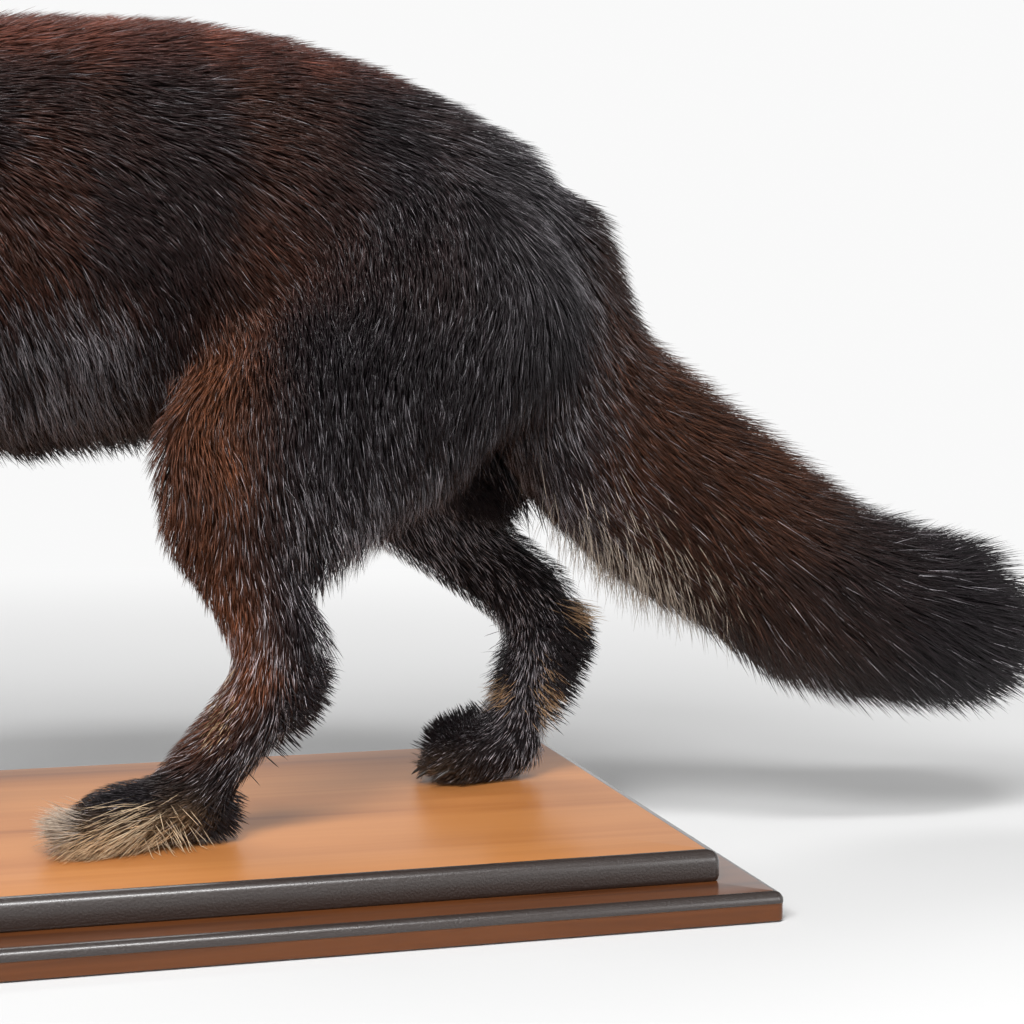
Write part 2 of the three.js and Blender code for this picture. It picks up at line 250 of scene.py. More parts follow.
class Surface:
    """The skin as arrays, with values that can be smoothed along it."""

    def __init__(self, verts, faces):
        self.verts = verts
        self.faces = faces
        rolled = [faces[:, [i, (i + 1) % faces.shape[1]]] for i in range(faces.shape[1])]
        edges = np.sort(np.concatenate(rolled), axis=1)
        self.edges = np.unique(edges, axis=0)
        ends = np.concatenate([self.edges[:, 0], self.edges[:, 1]])
        self.degree = np.maximum(np.bincount(ends, minlength=len(verts)), 1)

    def around(self, values):
        """The mean of each vertex's neighbours."""
        a, b = self.edges[:, 0], self.edges[:, 1]
        count = len(self.verts)
        columns = []
        for k in range(values.shape[1]):
            total = np.bincount(a, weights=values[b, k], minlength=count)
            total += np.bincount(b, weights=values[a, k], minlength=count)
            columns.append(total / self.degree)
        return np.stack(columns, axis=1)

    def smoothed(self, values, rounds, amount=0.5):
        flat = values.reshape(len(self.verts), -1).astype(float)
        weight = np.asarray(amount, float).reshape(-1, 1) if np.ndim(amount) else amount
        for _ in range(rounds):
            flat = flat + weight * (self.around(flat) - flat)
        return flat.reshape(values.shape)

    def even_out(self, share, rounds, shrink, swell):
        """Rounds out bumps and creases where share is 1, without shrinking the surface."""
        for _ in range(rounds):
            self.verts = self.smoothed(self.verts, 1, shrink * share)
            self.verts = self.smoothed(self.verts, 1, -swell * share)

    def crosses(self):
        """For each triangle, the vector along its normal that is twice as long as the triangle is large."""
        tris = self.triangles()
        a, b, c = (self.verts[tris[:, i]] for i in range(3))
        return np.cross(b - a, c - a)

    def areas(self):
        return 0.5 * np.linalg.norm(self.crosses(), axis=1)

    def normals(self):
        tris = self.triangles()
        cross = self.crosses()
        total = np.zeros_like(self.verts)
        for i in range(3):
            for k in range(3):
                total[:, k] += np.bincount(tris[:, i], weights=cross[:, k], minlength=len(self.verts))
        return unit(total)

    def triangles(self):
        if self.faces.shape[1] == 3:
            return self.faces
        return np.concatenate([self.faces[:, [0, 1, 2]], self.faces[:, [0, 2, 3]]])


# ---- Skin -----------------------------------------------------------------------------------------------


def fused_flesh(nodes):
    """The flesh solids, swollen a little so that the cuts between them close, remeshed into one surface."""
    verts, faces, start = [], [], 0
    for name in FLESH + ORGANS:
        co, tris = arrays_of(nodes[name].data)
        part = Surface(*merged(co, tris))
        verts.append(part.verts + SWELL.get(part_of(name), SWELL_ELSEWHERE) * part.normals())
        faces.append(part.faces + start)
        start += len(part.verts)
    mesh = mesh_from("flesh", np.concatenate(verts), np.concatenate(faces))
    obj = linked("flesh", mesh)
    remesh = obj.modifiers.new("fuse", "REMESH")
    remesh.mode = "VOXEL"
    remesh.voxel_size = VOXEL * MM
    evaluated = obj.evaluated_get(bpy.context.evaluated_depsgraph_get())
    fused = bpy.data.meshes.new_from_object(evaluated)
    bpy.data.objects.remove(obj)
    co = places(fused)
    quads = np.empty(len(fused.loops), np.int32)
    fused.loops.foreach_get("vertex_index", quads)
    bpy.data.meshes.remove(fused)
    return outer_shell(co, quads.reshape(-1, 4))


def merged(co, tris):
    """The same triangles with the corners that share a place made one vertex."""
    keys = np.round(co, 3)
    unique, index = np.unique(keys, axis=0, return_inverse=True)
    tris = index.reshape(-1)[tris]
    sound = (tris[:, 0] != tris[:, 1]) & (tris[:, 1] != tris[:, 2]) & (tris[:, 2] != tris[:, 0])
    return unique, tris[sound]


def outer_shell(co, quads):
    """Only the largest connected piece, so that nothing is left shut in inside the body."""
    label = np.arange(len(co))
    while True:
        lowest = label[quads].min(axis=1)
        fresh = label.copy()
        np.minimum.at(fresh, quads.ravel(), np.repeat(lowest, 4))
        fresh = fresh[fresh]
        if np.array_equal(fresh, label):
            break
        label = fresh
    names, counts = np.unique(label, return_counts=True)
    keep = label == names[counts.argmax()]
    index = np.cumsum(keep) - 1
    return Surface(co[keep], index[quads[keep[quads].all(axis=1)]])


def part_of(node):
    """The row of COAT that a CAD node takes: its name without left or right."""
    for side in SIDES:
        node = node.removesuffix("_" + side)
    return node


KINDS = np.array([part_of(node) for node in FLESH])


def line_of(node):
    """The line that a CAD node follows: a leg's joints, the tail or the back."""
    kind = part_of(node)
    for leg, parts in PARTS.items():
        if kind in parts:
            joints = LEG_JOINTS[leg + "_" + node.rsplit("_", 1)[1]]
            return np.array(joints, float) + (0.0, 0.0, DECK)
    return np.array([(x, 0.0, z) for x, z in (TAIL if kind == "tail" else SPINE)])


def nearest_parts(nodes, points):
    """For each point, which of FLESH is nearest."""
    verts, faces, owner, start = [], [], [], 0
    for i, name in enumerate(FLESH):
        co, tris = arrays_of(nodes[name].data)
        verts.append(co)
        faces.append(tris + start)
        owner.append(np.full(len(tris), i))
        start += len(co)
    tree = BVHTree.FromPolygons(np.concatenate(verts).tolist(), np.concatenate(faces).tolist())
    owner = np.concatenate(owner)
    return np.array([owner[tree.find_nearest(p)[2]] for p in points.tolist()])


def onto(points, a, b):
    """The stretch from a to b: its direction, how far along it each point is, and the way from it."""
    length = np.linalg.norm(b - a)
    along = (b - a) / length
    t = np.clip((points - a) @ along, 0.0, length)
    return along, t, points - (a + t[:, None] * along)


def polyline_flow(points, line):
    """The direction of the nearest stretch of a line, blended over the stretches near each point."""
    total = np.zeros_like(points)
    for a, b in zip(line[:-1], line[1:]):
        along, _, away = onto(points, a, b)
        total += np.exp(-np.linalg.norm(away, axis=1) / FLOW_BLEND)[:, None] * along
    return unit(total)


def lie_on_head(local):
    """Back along the head, and out and down over the cheeks."""
    x, y, z = local.T
    flow = np.tile([1.0, 0.0, 0.12], (len(local), 1))
    flow[:, 1] = 0.5 * np.sign(y) * smooth_step(-90.0, -50.0, x) * smooth_step(8.0, 30.0, abs(y))
    flow[:, 2] -= 0.6 * smooth_step(10.0, -25.0, z) * smooth_step(-95.0, -50.0, x)
    return unit(flow @ HEAD_TO_MODEL[:3, :3].T)


def lie_of_coat(points, node):
    """Which way the hair runs at each point of one part, before it is smoothed and laid along the skin."""
    kind = part_of(node)
    if kind in HEAD_KINDS:
        return lie_on_head(to_head(points))
    if kind == "ear":
        return np.tile(unit(HEAD_TO_MODEL[:3, :3] @ np.array([0.05, 0.0, 1.0])), (len(points), 1))
    flow = polyline_flow(points, line_of(node))
    if kind in ("trunk", "neck"):
        flow[:, 2] -= 0.35 + 1.9 * smooth_step(385.0, 225.0, points[:, 2])
        return unit(flow)
    if kind == "tail":
        flow[:, 2] -= 0.12
        return unit(flow)
    if kind in ("thigh", "upper_arm"):
        return unit(flow + np.array([0.5, 0.0, -0.7]))
    return flow


def refined(surface, chosen, rounds=1):
    """The surface as triangles, with those whose corners are all in chosen(verts) split into four."""
    for _ in range(rounds):
        mesh = mesh_from("refine", surface.verts, surface.faces)
        build = bmesh.new()
        build.from_mesh(mesh)
        bpy.data.meshes.remove(mesh)
        build.verts.ensure_lookup_table()
        inside = chosen(surface.verts)
        edges = [e for e in build.edges if inside[e.verts[0].index] and inside[e.verts[1].index]]
        bmesh.ops.subdivide_edges(build, edges=edges, cuts=1, use_grid_fill=True)
        bmesh.ops.triangulate(build, faces=build.faces)
        fine = bpy.data.meshes.new("fine")
        build.to_mesh(fine)
        build.free()
        surface = Surface(*arrays_of(fine))
        bpy.data.meshes.remove(fine)
    return surface


def eye_axes(side):
    """Outward, along the lids towards the ear, and across them, in the head's frame."""
    outward = unit(np.array([-0.5, 0.84 * side, 0.2]))
    along = np.array([0.8, 0.5 * side, 0.26])
    along = unit(along - (along @ outward) * outward)
    return outward, along, np.cross(outward, along) * side


def lid_opening(directions, side):
    """Below 0 inside the almond-shaped opening between the lids, above 0 outside it, in radians or so."""
    outward, along, across = eye_axes(side)
    a = (directions @ along + 0.03) / 0.93
    b = directions @ across
    height = np.where(b > 0, 0.56, 0.5) * np.clip(1.0 - a * a, 0.0, 1.0) ** 0.7
    gap = np.abs(b) - height
    past_corners = np.abs(a) - 1
    gap = np.where(past_corners > 0, np.maximum(gap, 0.3 * past_corners), gap)
    return np.where(directions @ outward > 0, gap, 1.0)


def open_lids(local):
    """Lays the skin over each eyeball as lids, and sinks it behind the ball within their opening."""
    for side in SIDES.values():
        centre = eye_centre(side)
        away = local - centre
        reach = np.linalg.norm(away, axis=1)
        near = reach < 2.1 * EYE_RADIUS
        directions = away[near] / reach[near, None]
        outward = eye_axes(side)[0]
        front = directions @ outward
        gap = lid_opening(directions, side)
        rim = EYE_RADIUS + 0.55 + 0.75 * np.exp(-((np.clip(gap, 0, None) - 0.13) / 0.11) ** 2)
        lid = np.where(gap < 0, EYE_RADIUS - 2.2, rim)
        hold = smooth_step(2.0, 1.25, reach[near] / EYE_RADIUS) * smooth_step(-0.15, 0.2, front)
        hold = np.where(gap < 0, 1.0, hold)
        fixed = reach[near] + hold * (lid - reach[near])
        fixed = np.where((front > -0.2) & (gap >= 0), np.maximum(fixed, EYE_RADIUS + 0.5), fixed)
        local[near] = centre + directions * fixed[:, None]
    return local


def mouth_height(x):
    return -22.0 - 0.06 * (x + 92.0)


def shape_muzzle(local):
    """Draws the line of the closed lips, the pads above it and the rims of the nostrils."""
    x, y, z = local.T
    above = z - mouth_height(x)
    along = smooth_step(-84.0, -92.0, x) * smooth_step(-170.0, -158.0, x)
    groove = -2.3 * np.exp(-((above / 1.4) ** 2)) + 1.2 * np.exp(-(((above - 3.2) / 2.4) ** 2))
    pad = 1.6 * np.exp(-(((x + 140) / 14) ** 2) - (((z + 9) / 6) ** 2))
    outward = np.stack([np.zeros_like(x), y, 0.35 * (z + 12.0)], axis=1)
    local = local + unit(outward) * ((groove + pad) * along * smooth_step(0.5, 3.0, abs(y)))[:, None]
    # The end of the muzzle is blunt: it comes forward round the nose and under it.
    blunt = np.exp(-(((x + 152) / 9) ** 2) - ((y / 11) ** 2) - (((z + 12) / 7) ** 2))
    local[:, 0] -= 4.2 * blunt * smooth_step(0.6, 2.4, above)
    return local


def muzzle_share(verts):
    """How deep the head's coat is: thin on the muzzle, full on the cheeks."""
    return lerp(0.3, 1.25, smooth_step(-125.0, -45.0, to_head(verts)[:, 0]))


def on_face(verts):
    local = to_head(verts)
    return (local[:, 0] < -46.0) & (abs(local[:, 1]) < 60) & (verts[:, 0] < -200)


def by_eyes(verts):
    return from_eyes(to_head(verts)) < 1.75 * EYE_RADIUS


def on_lips(verts):
    local = to_head(verts)
    above = np.abs(local[:, 2] - mouth_height(local[:, 0]))
    return (local[:, 0] < -86.0) & (above < 6.0) | (local[:, 0] < -150.0) & (verts[:, 0] < -300)


def coat_depths(skin, part):
    """How deep the coat is over each vertex: less on the muzzle and at the root of the tail."""
    swollen = np.array([SWELL.get(kind, SWELL_ELSEWHERE) for kind in KINDS])
    depth = (np.array([COAT[kind][0] for kind in KINDS]) + swollen - SWELL_ELSEWHERE)[part]
    fullness = smooth_step(*TAIL_FILLS_OUT, skin.verts[:, 0])
    depth = np.where(KINDS[part] == "tail", lerp(COAT["trunk"][0], depth, fullness), depth)
    depth = np.where(np.isin(KINDS[part], HEAD_KINDS), depth * muzzle_share(skin.verts), depth)
    return skin.smoothed(depth, 12)


def with_face(coarse):
    """The skin with a finer mesh on the face, with lids, lips and nostrils drawn in it."""
    tree = BVHTree.FromPolygons(coarse.verts.tolist(), coarse.triangles().tolist())
    skin = refined(coarse, on_face)
    skin = refined(skin, on_lips)
    skin = refined(skin, by_eyes, 2)
    nearest = [tree.find_nearest(p)[2] for p in skin.verts.tolist()]
    skin.depth = coarse.depth[coarse.triangles()[nearest][:, 0]]
    face = on_face(skin.verts)
    skin.verts[face] = from_head(open_lids(shape_muzzle(to_head(skin.verts[face]))))
    skin.verts[:, 2] = np.maximum(skin.verts[:, 2], DECK + SKIN_CLEARANCE)
    return skin


def build_skin(nodes):
    """The skin, and for each of its vertices its part, the coat's depth and the lie of the coat."""
    skin = fused_flesh(nodes)
    part = nearest_parts(nodes, skin.verts)
    ease = skin.smoothed(np.array([EASE.get(kind, EASE_ELSEWHERE) for kind in KINDS])[part], 4)
    skin.verts = skin.smoothed(skin.verts, 12, ease)
    # The creases between the trunk and the limbs are rounded out.
    fleshy = 1.0 * np.isin(KINDS[part], ["trunk", "neck", "thigh", "upper_arm", "tail"])
    skin.even_out(skin.smoothed(fleshy, 6), 45, 0.62, 0.635)
    skin.depth = coat_depths(skin, part)
    inward = unit(skin.smoothed(skin.normals(), 5))
    skin.verts = skin.verts - skin.depth[:, None] * inward
    skin.verts = skin.smoothed(skin.verts, 3, ease)
    # The ears' thin rims are evened out.
    skin.even_out(skin.smoothed(1.0 * (KINDS[part] == "ear"), 2), 10, 0.6, 0.615)
    skin = with_face(skin)
    skin.normal = skin.normals()
    skin.part = nearest_parts(nodes, skin.verts)
    flow = np.zeros_like(skin.verts)
    for i, name in enumerate(FLESH):
        flow[skin.part == i] = lie_of_coat(skin.verts[skin.part == i], name)
    flow = unit(skin.smoothed(flow, 90))
    skin.flow = unit(flow - (flow * skin.normal).sum(axis=1, keepdims=True) * skin.normal)
    return skin


# ---- Markings -------------------------------------------------------------------------------------------

# Linear colours of single hairs.
BLACK = np.array([0.0096, 0.0070, 0.0084])
# Painted highlight: the pale colour of hairs that stand in for glints of light on the black coat.
PAINTED_GLINT = np.array([0.40, 0.375, 0.40])
CHOCOLATE = np.array([0.034, 0.0125, 0.0080])
RUSSET = np.array([0.125, 0.043, 0.019])
UMBER = np.array([0.058, 0.0255, 0.0175])
TAN = np.array([0.34, 0.205, 0.105])
STRAW = np.array([0.47, 0.36, 0.24])
GREIGE = np.array([0.20, 0.17, 0.145])
# Painted sheen: a grey haze laid on the rump for the light caught by its hairs.
PAINTED_SHEEN_GREY = np.array([0.030, 0.0265, 0.029])
LIP = np.array([0.010, 0.008, 0.008])
SADDLE = UMBER * (2.2, 1.65, 1.6)
BRUSH_BROWN = UMBER * 0.45
BRUSH_RUSSET = RUSSET * 0.46


def mix(a, b, t):
    return a + (b - a) * np.asarray(t)[:, None]


def blob(points, centre, size):
    """1 at a centre, falling off to 0 at about twice `size` from it, in each direction."""
    away = (points - np.asarray(centre, float)) / np.asarray(size, float)
    return np.exp(-(away**2).sum(axis=1))


class Spots:
    """Points on the body with what its markings depend on. `up` is a height over the deck."""

    def __init__(self, points, normals, part):
        self.points = points
        self.normals = normals
        self.x, self.y, z = points.T
        self.up = z - DECK
        self.local = to_head(points)
        self.kinds = KINDS[part]
        self.patchy = noise(points, 34.0, 1)
        self.streaky = noise(points * (1.0, 1.0, 0.45), 17.0, 2)
        self.fine = noise(points, 6.0, 3)
        self.sway = 34.0 * (self.patchy - 0.5)
        self.rump = self.near((280.0, 0.0, 296.0), (76.0, 90.0, 84.0))

    def near(self, place, size):
        """1 at a place (x, y, height over the deck), falling off to 0 round it."""
        return blob(self.points, np.array(place) + (0.0, 0.0, DECK), size)


def back_and_belly(spots):
    """Chocolate with darker bars, fading over the haunch, near black on the belly, paler along the back."""
    flank = smooth_step(232.0, 278.0, spots.up + spots.sway)
    flank = flank * lerp(1.0, 0.3, smooth_step(120.0, 215.0, spots.x + spots.sway))
    flank = flank * smooth_step(275.0, 225.0, spots.x + 0.5 * spots.sway)
    bars = smooth_step(0.34, 0.68, 0.6 * spots.streaky + 0.4 * spots.patchy)
    colour = mix(BLACK, CHOCOLATE, np.clip(flank * lerp(0.25, 1.0, bars), 0, 1))
    saddle = smooth_step(345.0, 376.0, spots.up) * smooth_step(300.0, 190.0, spots.x) * lerp(0.5, 1.0, bars)
    return mix(colour, SADDLE, 0.9 * saddle)


def russet_stripe(spots):
    """How russet each point is: a stripe runs down the front of the near thigh and shank."""
    front = np.interp(spots.up, [20, 84, 160, 240, 300], [80.0, 126.0, 90.0, 108.0, 124.0])
    width = np.interp(spots.up, [60, 110, 160, 240], [13.0, 14.0, 22.0, 20.0])
    stripe = np.exp(-(((spots.x - front - 0.75 * width) / width) ** 2))
    stripe = stripe * smooth_step(300.0, 200.0, spots.up) * smooth_step(30.0, 60.0, spots.up)
    stripe = stripe * (spots.y < 0) * smooth_step(14.0, 34.0, abs(spots.y))
    return np.clip(stripe * lerp(0.45, 1.15, spots.streaky), 0, 0.9)


def brush_colour(spots):
    """Dark brown, russet on its sides near its root, near black towards its tip."""
    along = smooth_step(318.0, 540.0, spots.x)
    warm = 0.95 * spots.near((356.0, 0.0, 190.0), (82.0, 90.0, 66.0)) * lerp(0.6, 1.1, spots.streaky)
    brush = mix(BRUSH_BROWN, BRUSH_RUSSET, np.clip(warm, 0.0, 1.0))
    brush = mix(brush, BLACK * 1.15, smooth_step(0.2, 0.85, along))
    brush = mix(brush, BLACK, smooth_step(318.0, 285.0, spots.x))
    return mix(brush, BLACK, 0.4 * smooth_step(0.45, 0.8, spots.patchy))


def face_colour(spots):
    """Near black, a little grizzled on the cheeks and brow."""
    grizzle = 0.45 * smooth_step(0.4, 0.8, spots.patchy) + 0.6 * smooth_step(-55.0, -5.0, spots.local[:, 0])
    return mix(BLACK * 1.2, CHOCOLATE * 1.1, np.clip(grizzle, 0.0, 0.8))


def ear_colour(spots):
    """Near black behind, grey-beige in the bowl but for its tip."""
    facing = smooth_step(0.1, 0.7, spots.normals @ HEAD_TO_MODEL[:3, 0] * -1.0)
    bowl = facing * smooth_step(104.0, 70.0, spots.local[:, 2])
    return mix(BLACK * 1.1, GREIGE * 0.8, bowl)


def with_feet(colour, spots):
    """The colour with the feet's: black on top, tan between the toes."""
    for limb, joints in LEG_JOINTS.items():
        x, y, _ = joints[-1]
        tan = spots.near((x + 4.0, y, 5.0), (24.0, 30.0, 13.0))
        share = 0.7 if limb == "hind_left" else 0.3
        colour = mix(colour, TAN * 0.8, np.clip(share * tan * lerp(0.6, 1.3, spots.fine), 0, 1))
    near_side = spots.near((94.0, -76.0, 11.0), (22.0, 14.0, 15.0))
    colour = mix(colour, TAN * 0.42, np.clip(1.1 * near_side, 0.0, 0.85))
    knuckles = spots.near((78.0, -66.0, 26.0), (26.0, 30.0, 9.0))
    return mix(colour, BLACK, np.clip(1.2 * knuckles, 0.0, 1.0))


# Where pale hairs are mixed in as painted glints of light on the black coat: their share, a place (x, y,
# height over the deck) and its size.
PAINTED_GLINT_PLACES = {
    "haunch": (0.95, (212.0, 0.0, 156.0), (90.0, 90.0, 50.0)),
    "far_foot": (0.75, (284.0, 40.0, 50.0), (42.0, 30.0, 48.0)),
    "near_shank": (0.28, (150.0, -60.0, 130.0), (22.0, 90.0, 44.0)),
}


def painted_glint_share(spots):
    """The share of pale hairs at each point, painted in as glints where light catches the coat."""
    # Painted shade: the glints on the flanks and belly stop below about 200 mm over the deck, where the
    # belly's underside faces down into shade.
    flanks = smooth_step(284.0, 234.0, spots.up + 0.6 * spots.sway) * smooth_step(186.0, 214.0, spots.up)
    legs = smooth_step(130.0, 100.0, spots.up) * smooth_step(26.0, 52.0, spots.up)
    belly = 0.62 * flanks * smooth_step(130.0, 50.0, spots.x + spots.sway)
    shares = [belly, 0.42 * spots.rump, 0.30 * legs]
    shares += [share * spots.near(place, size) for share, place, size in PAINTED_GLINT_PLACES.values()]
    glint_share = np.maximum(np.max(shares, axis=0), 0.04)
    glint_share = np.where(np.isin(spots.kinds, HEAD_KINDS), 0.14, glint_share)
    glint_share = np.where(spots.kinds == "tail", 0.03 + 0.34 * smooth_step(335.0, 290.0, spots.x), glint_share)
    return glint_share * lerp(0.7, 1.9, spots.streaky)


def markings(points, normals, part):
    """The colour of the hair growing at each point, and the share of its hairs painted in as pale glints."""
    spots = Spots(points, normals, part)
    on_tail = spots.kinds == "tail"
    colour = mix(back_and_belly(spots), RUSSET, russet_stripe(spots))
    colour = np.where(on_tail[:, None], brush_colour(spots), colour)
    # Painted sheen: the rump, but not the tail, is greyed towards a haze that stands for the light on its
    # hairs.
    colour = mix(colour, PAINTED_SHEEN_GREY, np.clip(0.7 * spots.rump * ~on_tail, 0.0, 1.0))
    colour = np.where(np.isin(spots.kinds, HEAD_KINDS)[:, None], face_colour(spots), colour)
    colour = np.where((spots.kinds == "ear")[:, None], ear_colour(spots), colour)
    return with_feet(colour, spots) * lerp(0.8, 1.2, spots.fine)[:, None], painted_glint_share(spots)


# ---- Coat -----------------------------------------------------------------------------------------------

# Pieces of the coat: the parts each one covers. Every piece stays under 200,000 triangles.
PIECES = {
    "coat_head": ["head", "jaw", "ear_left", "ear_right"],
    "coat_neck": ["neck"],
    "coat_chest_left": ["trunk"],
    "coat_chest_right": ["trunk"],
    "coat_loin_left": ["trunk"],
    "coat_loin_right": ["trunk"],
    "coat_tail_root": ["tail"],
    "coat_tail_brush": ["tail"],
    "coat_thighs": ["thigh_left", "thigh_right"],
    "coat_shanks": ["shank_left", "shank_right", "hindfoot_left", "hindfoot_right"],
    "coat_hindpaws": ["hindpaw_left", "hindpaw_right"],
    "coat_forelegs": ["upper_arm_left", "upper_arm_right", "forearm_left", "forearm_right"],
    "coat_forepaws": ["forefoot_left", "forefoot_right", "forepaw_left", "forepaw_right"],
}
LOIN_START = 60.0  # where the trunk's coat is parted between chest and loin
BRUSH_START = 400.0  # where the tail's coat is parted between its root and its brush
THINNED = 0.79  # share of the coat's tufts that is grown, each one a little wider for it
GUARD_SHARE = 0.12  # tufts that bend: long guard hairs


def scatter(skin, weight, total):
    """Root points spread over the skin: their triangles and the weights of the triangles' corners."""
    tris = skin.triangles()
    share = skin.areas() * weight[tris].mean(axis=1)
    ends = np.cumsum(share)
    # One root in each equal share of the skin, a little out of step, so that the coat is even.
    picks = (np.arange(total) + RNG.random(total)) * ends[-1] / total
    chosen = tris[np.minimum(np.searchsorted(ends, picks), len(tris) - 1)]
    u, v = RNG.random(total), RNG.random(total)
    over = u + v > 1.0
    u, v = np.where(over, 1 - u, u), np.where(over, 1 - v, v)
    return chosen, np.stack([1 - u - v, u, v], axis=1)


def at_roots(values, chosen, corners):
    flat = values if values.ndim > 1 else values[:, None]
    result = (flat[chosen] * corners[:, :, None]).sum(axis=1)
    return result if values.ndim > 1 else result[:, 0]


def turned(vectors, axes, angles):
    """Vectors turned about unit axes by angles in radians."""
    c, s = np.cos(angles)[:, None], np.sin(angles)[:, None]
    along = (axes * vectors).sum(axis=1, keepdims=True)
    return vectors * c + np.cross(axes, vectors) * s + axes * along * (1 - c)


def grow_coat(skin):
    """Every tuft of the coat: its root, the way it runs, its sizes and its colours."""
    values = np.array([COAT[kind] for kind in KINDS])[skin.part]
    values[:, 0] = skin.depth
    soft = skin.smoothed(values, 8)
    density = soft[:, 3] * bare_places(skin)
    share = skin.areas() * density[skin.triangles()].mean(axis=1)
    total = int(THINNED * share.sum() / 100.0)
    chosen, corners = scatter(skin, density, total)
    root = at_roots(skin.verts, chosen, corners)
    normal = unit(at_roots(skin.normal, chosen, corners))
    flow = unit(at_roots(skin.flow, chosen, corners))
    depth, length, width, _ = at_roots(soft, chosen, corners).T
    part = skin.part[chosen[:, 0]]
    # The lie wanders slowly over the body, and every tuft leans its own way a little.
    wander = 0.55 * (noise(root, 55.0, 7) - 0.5) + 0.5 * (noise(root, 16.0, 8) - 0.5)
    flow = turned(flow, normal, wander + RNG.normal(0.0, 0.13, total))
    length, depth = coat_lengths(root, normal, part, length, depth)
    length = length * RNG.uniform(0.72, 1.2, total)
    height = np.minimum(depth * RNG.uniform(0.72, 1.08, total), 0.85 * length)
    width = width * RNG.uniform(0.65, 1.25, total) / THINNED ** 0.5
    colour, glint_share = markings(root, normal, part)
    colour = colour * RNG.lognormal(0.0, 0.3, total)[:, None]
    # Painted highlights: a share of the tufts, thin and pale, stand in for glints of light on the coat.
    glint = RNG.random(total) < glint_share
    # Painted light: glints low on the body and legs, where less light falls, are made up to 2.1 times
    # brighter.
    low = smooth_step(230.0, 150.0, root[:, 2])
    bright = mix(colour, PAINTED_GLINT, RNG.uniform(0.3, 1.0, total) ** 1.5) * lerp(0.95, 2.1, low)[:, None]
    return {
        "root": root, "normal": normal, "flow": flow, "part": part, "length": length,
        "height": np.where(glint, height * 1.08, height), "width": np.where(glint, width * 0.36, width),
        "colour": colour, "middle": np.where(glint[:, None], bright, colour),
        "guard": RNG.random(total) < GUARD_SHARE,
    }


# Hair that stands away from the coat round it. Each row: the node it grows on, its place (x, y, height over
# the deck), the place's size, which way it points, its length, its height off the skin, its width, how many
# tufts, its colour and how far its tips pale towards straw.
CLUMPS = {
    "toe_straw": ("hindpaw_left", (72, -80, 6), (20, 12, 6), (-0.85, -0.35, -0.3),
        20, 3.0, 0.40, 620, TAN, 0.45),
    "toe_long_straw": ("hindpaw_left", (92, -78, 22), (8, 7, 6), (-0.88, -0.25, -0.35),
        36, 4.0, 0.34, 60, STRAW, 0.9),
    "toe_fan": ("hindpaw_left", (94, -80, 16), (9, 8, 6), (0.42, -0.35, -0.8),
        20, 4.0, 0.34, 34, STRAW, 0.8),
    "toe_fluff": ("hindpaw_left", (43, -74, 12), (8, 14, 9), (-0.9, -0.2, 0.1),
        17, 3.0, 0.32, 620, GREIGE * 1.7, 0.4),
    "shin_straw": ("hindfoot_left", (117, -80, 82), (5, 10, 14), (-0.50, -0.1, -0.85),
        13, 2.0, 0.40, 110, TAN, 0.6),
    "heel_wool": ("hindpaw_left", (120, -60, 14), (12, 20, 12), (0.7, 0.0, -0.7),
        10, 2.0, 0.55, 500, BLACK, 0.0),
    "hock_wool_left": ("hindfoot_left", (158, -58, 74), (16, 18, 22), (0.75, 0.0, -0.65),
        14, 4.0, 0.60, 900, BLACK, 0.0),
    "hock_wool_right": ("hindfoot_right", (316, 46, 84), (18, 20, 36), (0.7, 0.0, -0.7),
        17, 5.0, 0.62, 2200, BLACK, 0.0),
    "hock_beige": ("hindfoot_right", (320, 34, 96), (7, 8, 8), (0.8, -0.25, -0.5),
        20, 5.0, 0.42, 110, TAN, 0.4),
    "far_heel_tan": ("hindfoot_right", (304, 30, 46), (6, 8, 14), (0.55, -0.3, -0.8),
        14, 2.0, 0.42, 120, TAN * 0.8, 0.2),
    "far_dew_tuft": ("hindfoot_right", (284, 36, 64), (6, 10, 10), (-0.65, 0.0, -0.75),
        13, 4.0, 0.50, 320, BLACK, 0.0),
    "far_dew_tan": ("hindfoot_right", (282, 38, 50), (5, 8, 6), (-0.75, -0.1, -0.6),
        11, 4.0, 0.42, 130, TAN * 0.8, 0.2),
    "far_toe_wool": ("hindpaw_right", (254, 44, 30), (16, 18, 12), (-0.5, 0.0, 0.55),
        10, 4.0, 0.50, 900, BLACK, 0.0),
    "far_thigh_fringe": ("thigh_right", (252, 40, 122), (38, 22, 26), (0.45, -0.1, -0.9),
        27, 9.0, 0.62, 2200, BLACK, 0.0),
    "tail_fringe": ("tail", (326, 0, 112), (52, 40, 34), (0.42, -0.05, -0.9),
        34, 15.0, 0.42, 1500, GREIGE, 0.2),
    "ear_hair_left": ("ear_left", (-262, -34, 438), (10, 12, 22), (0.05, -0.35, 0.95),
        17, 4.0, 0.30, 420, GREIGE, 0.5),
    "ear_hair_right": ("ear_right", (-262, 34, 438), (10, 12, 22), (0.05, 0.35, 0.95),
        17, 4.0, 0.30, 420, GREIGE, 0.5),
    "tail_white_hair": ("tail", (340, -34, 232), (8, 12, 8), (0.55, -0.3, -0.75),
        30, 5.0, 0.40, 6, STRAW, 0.9),
}


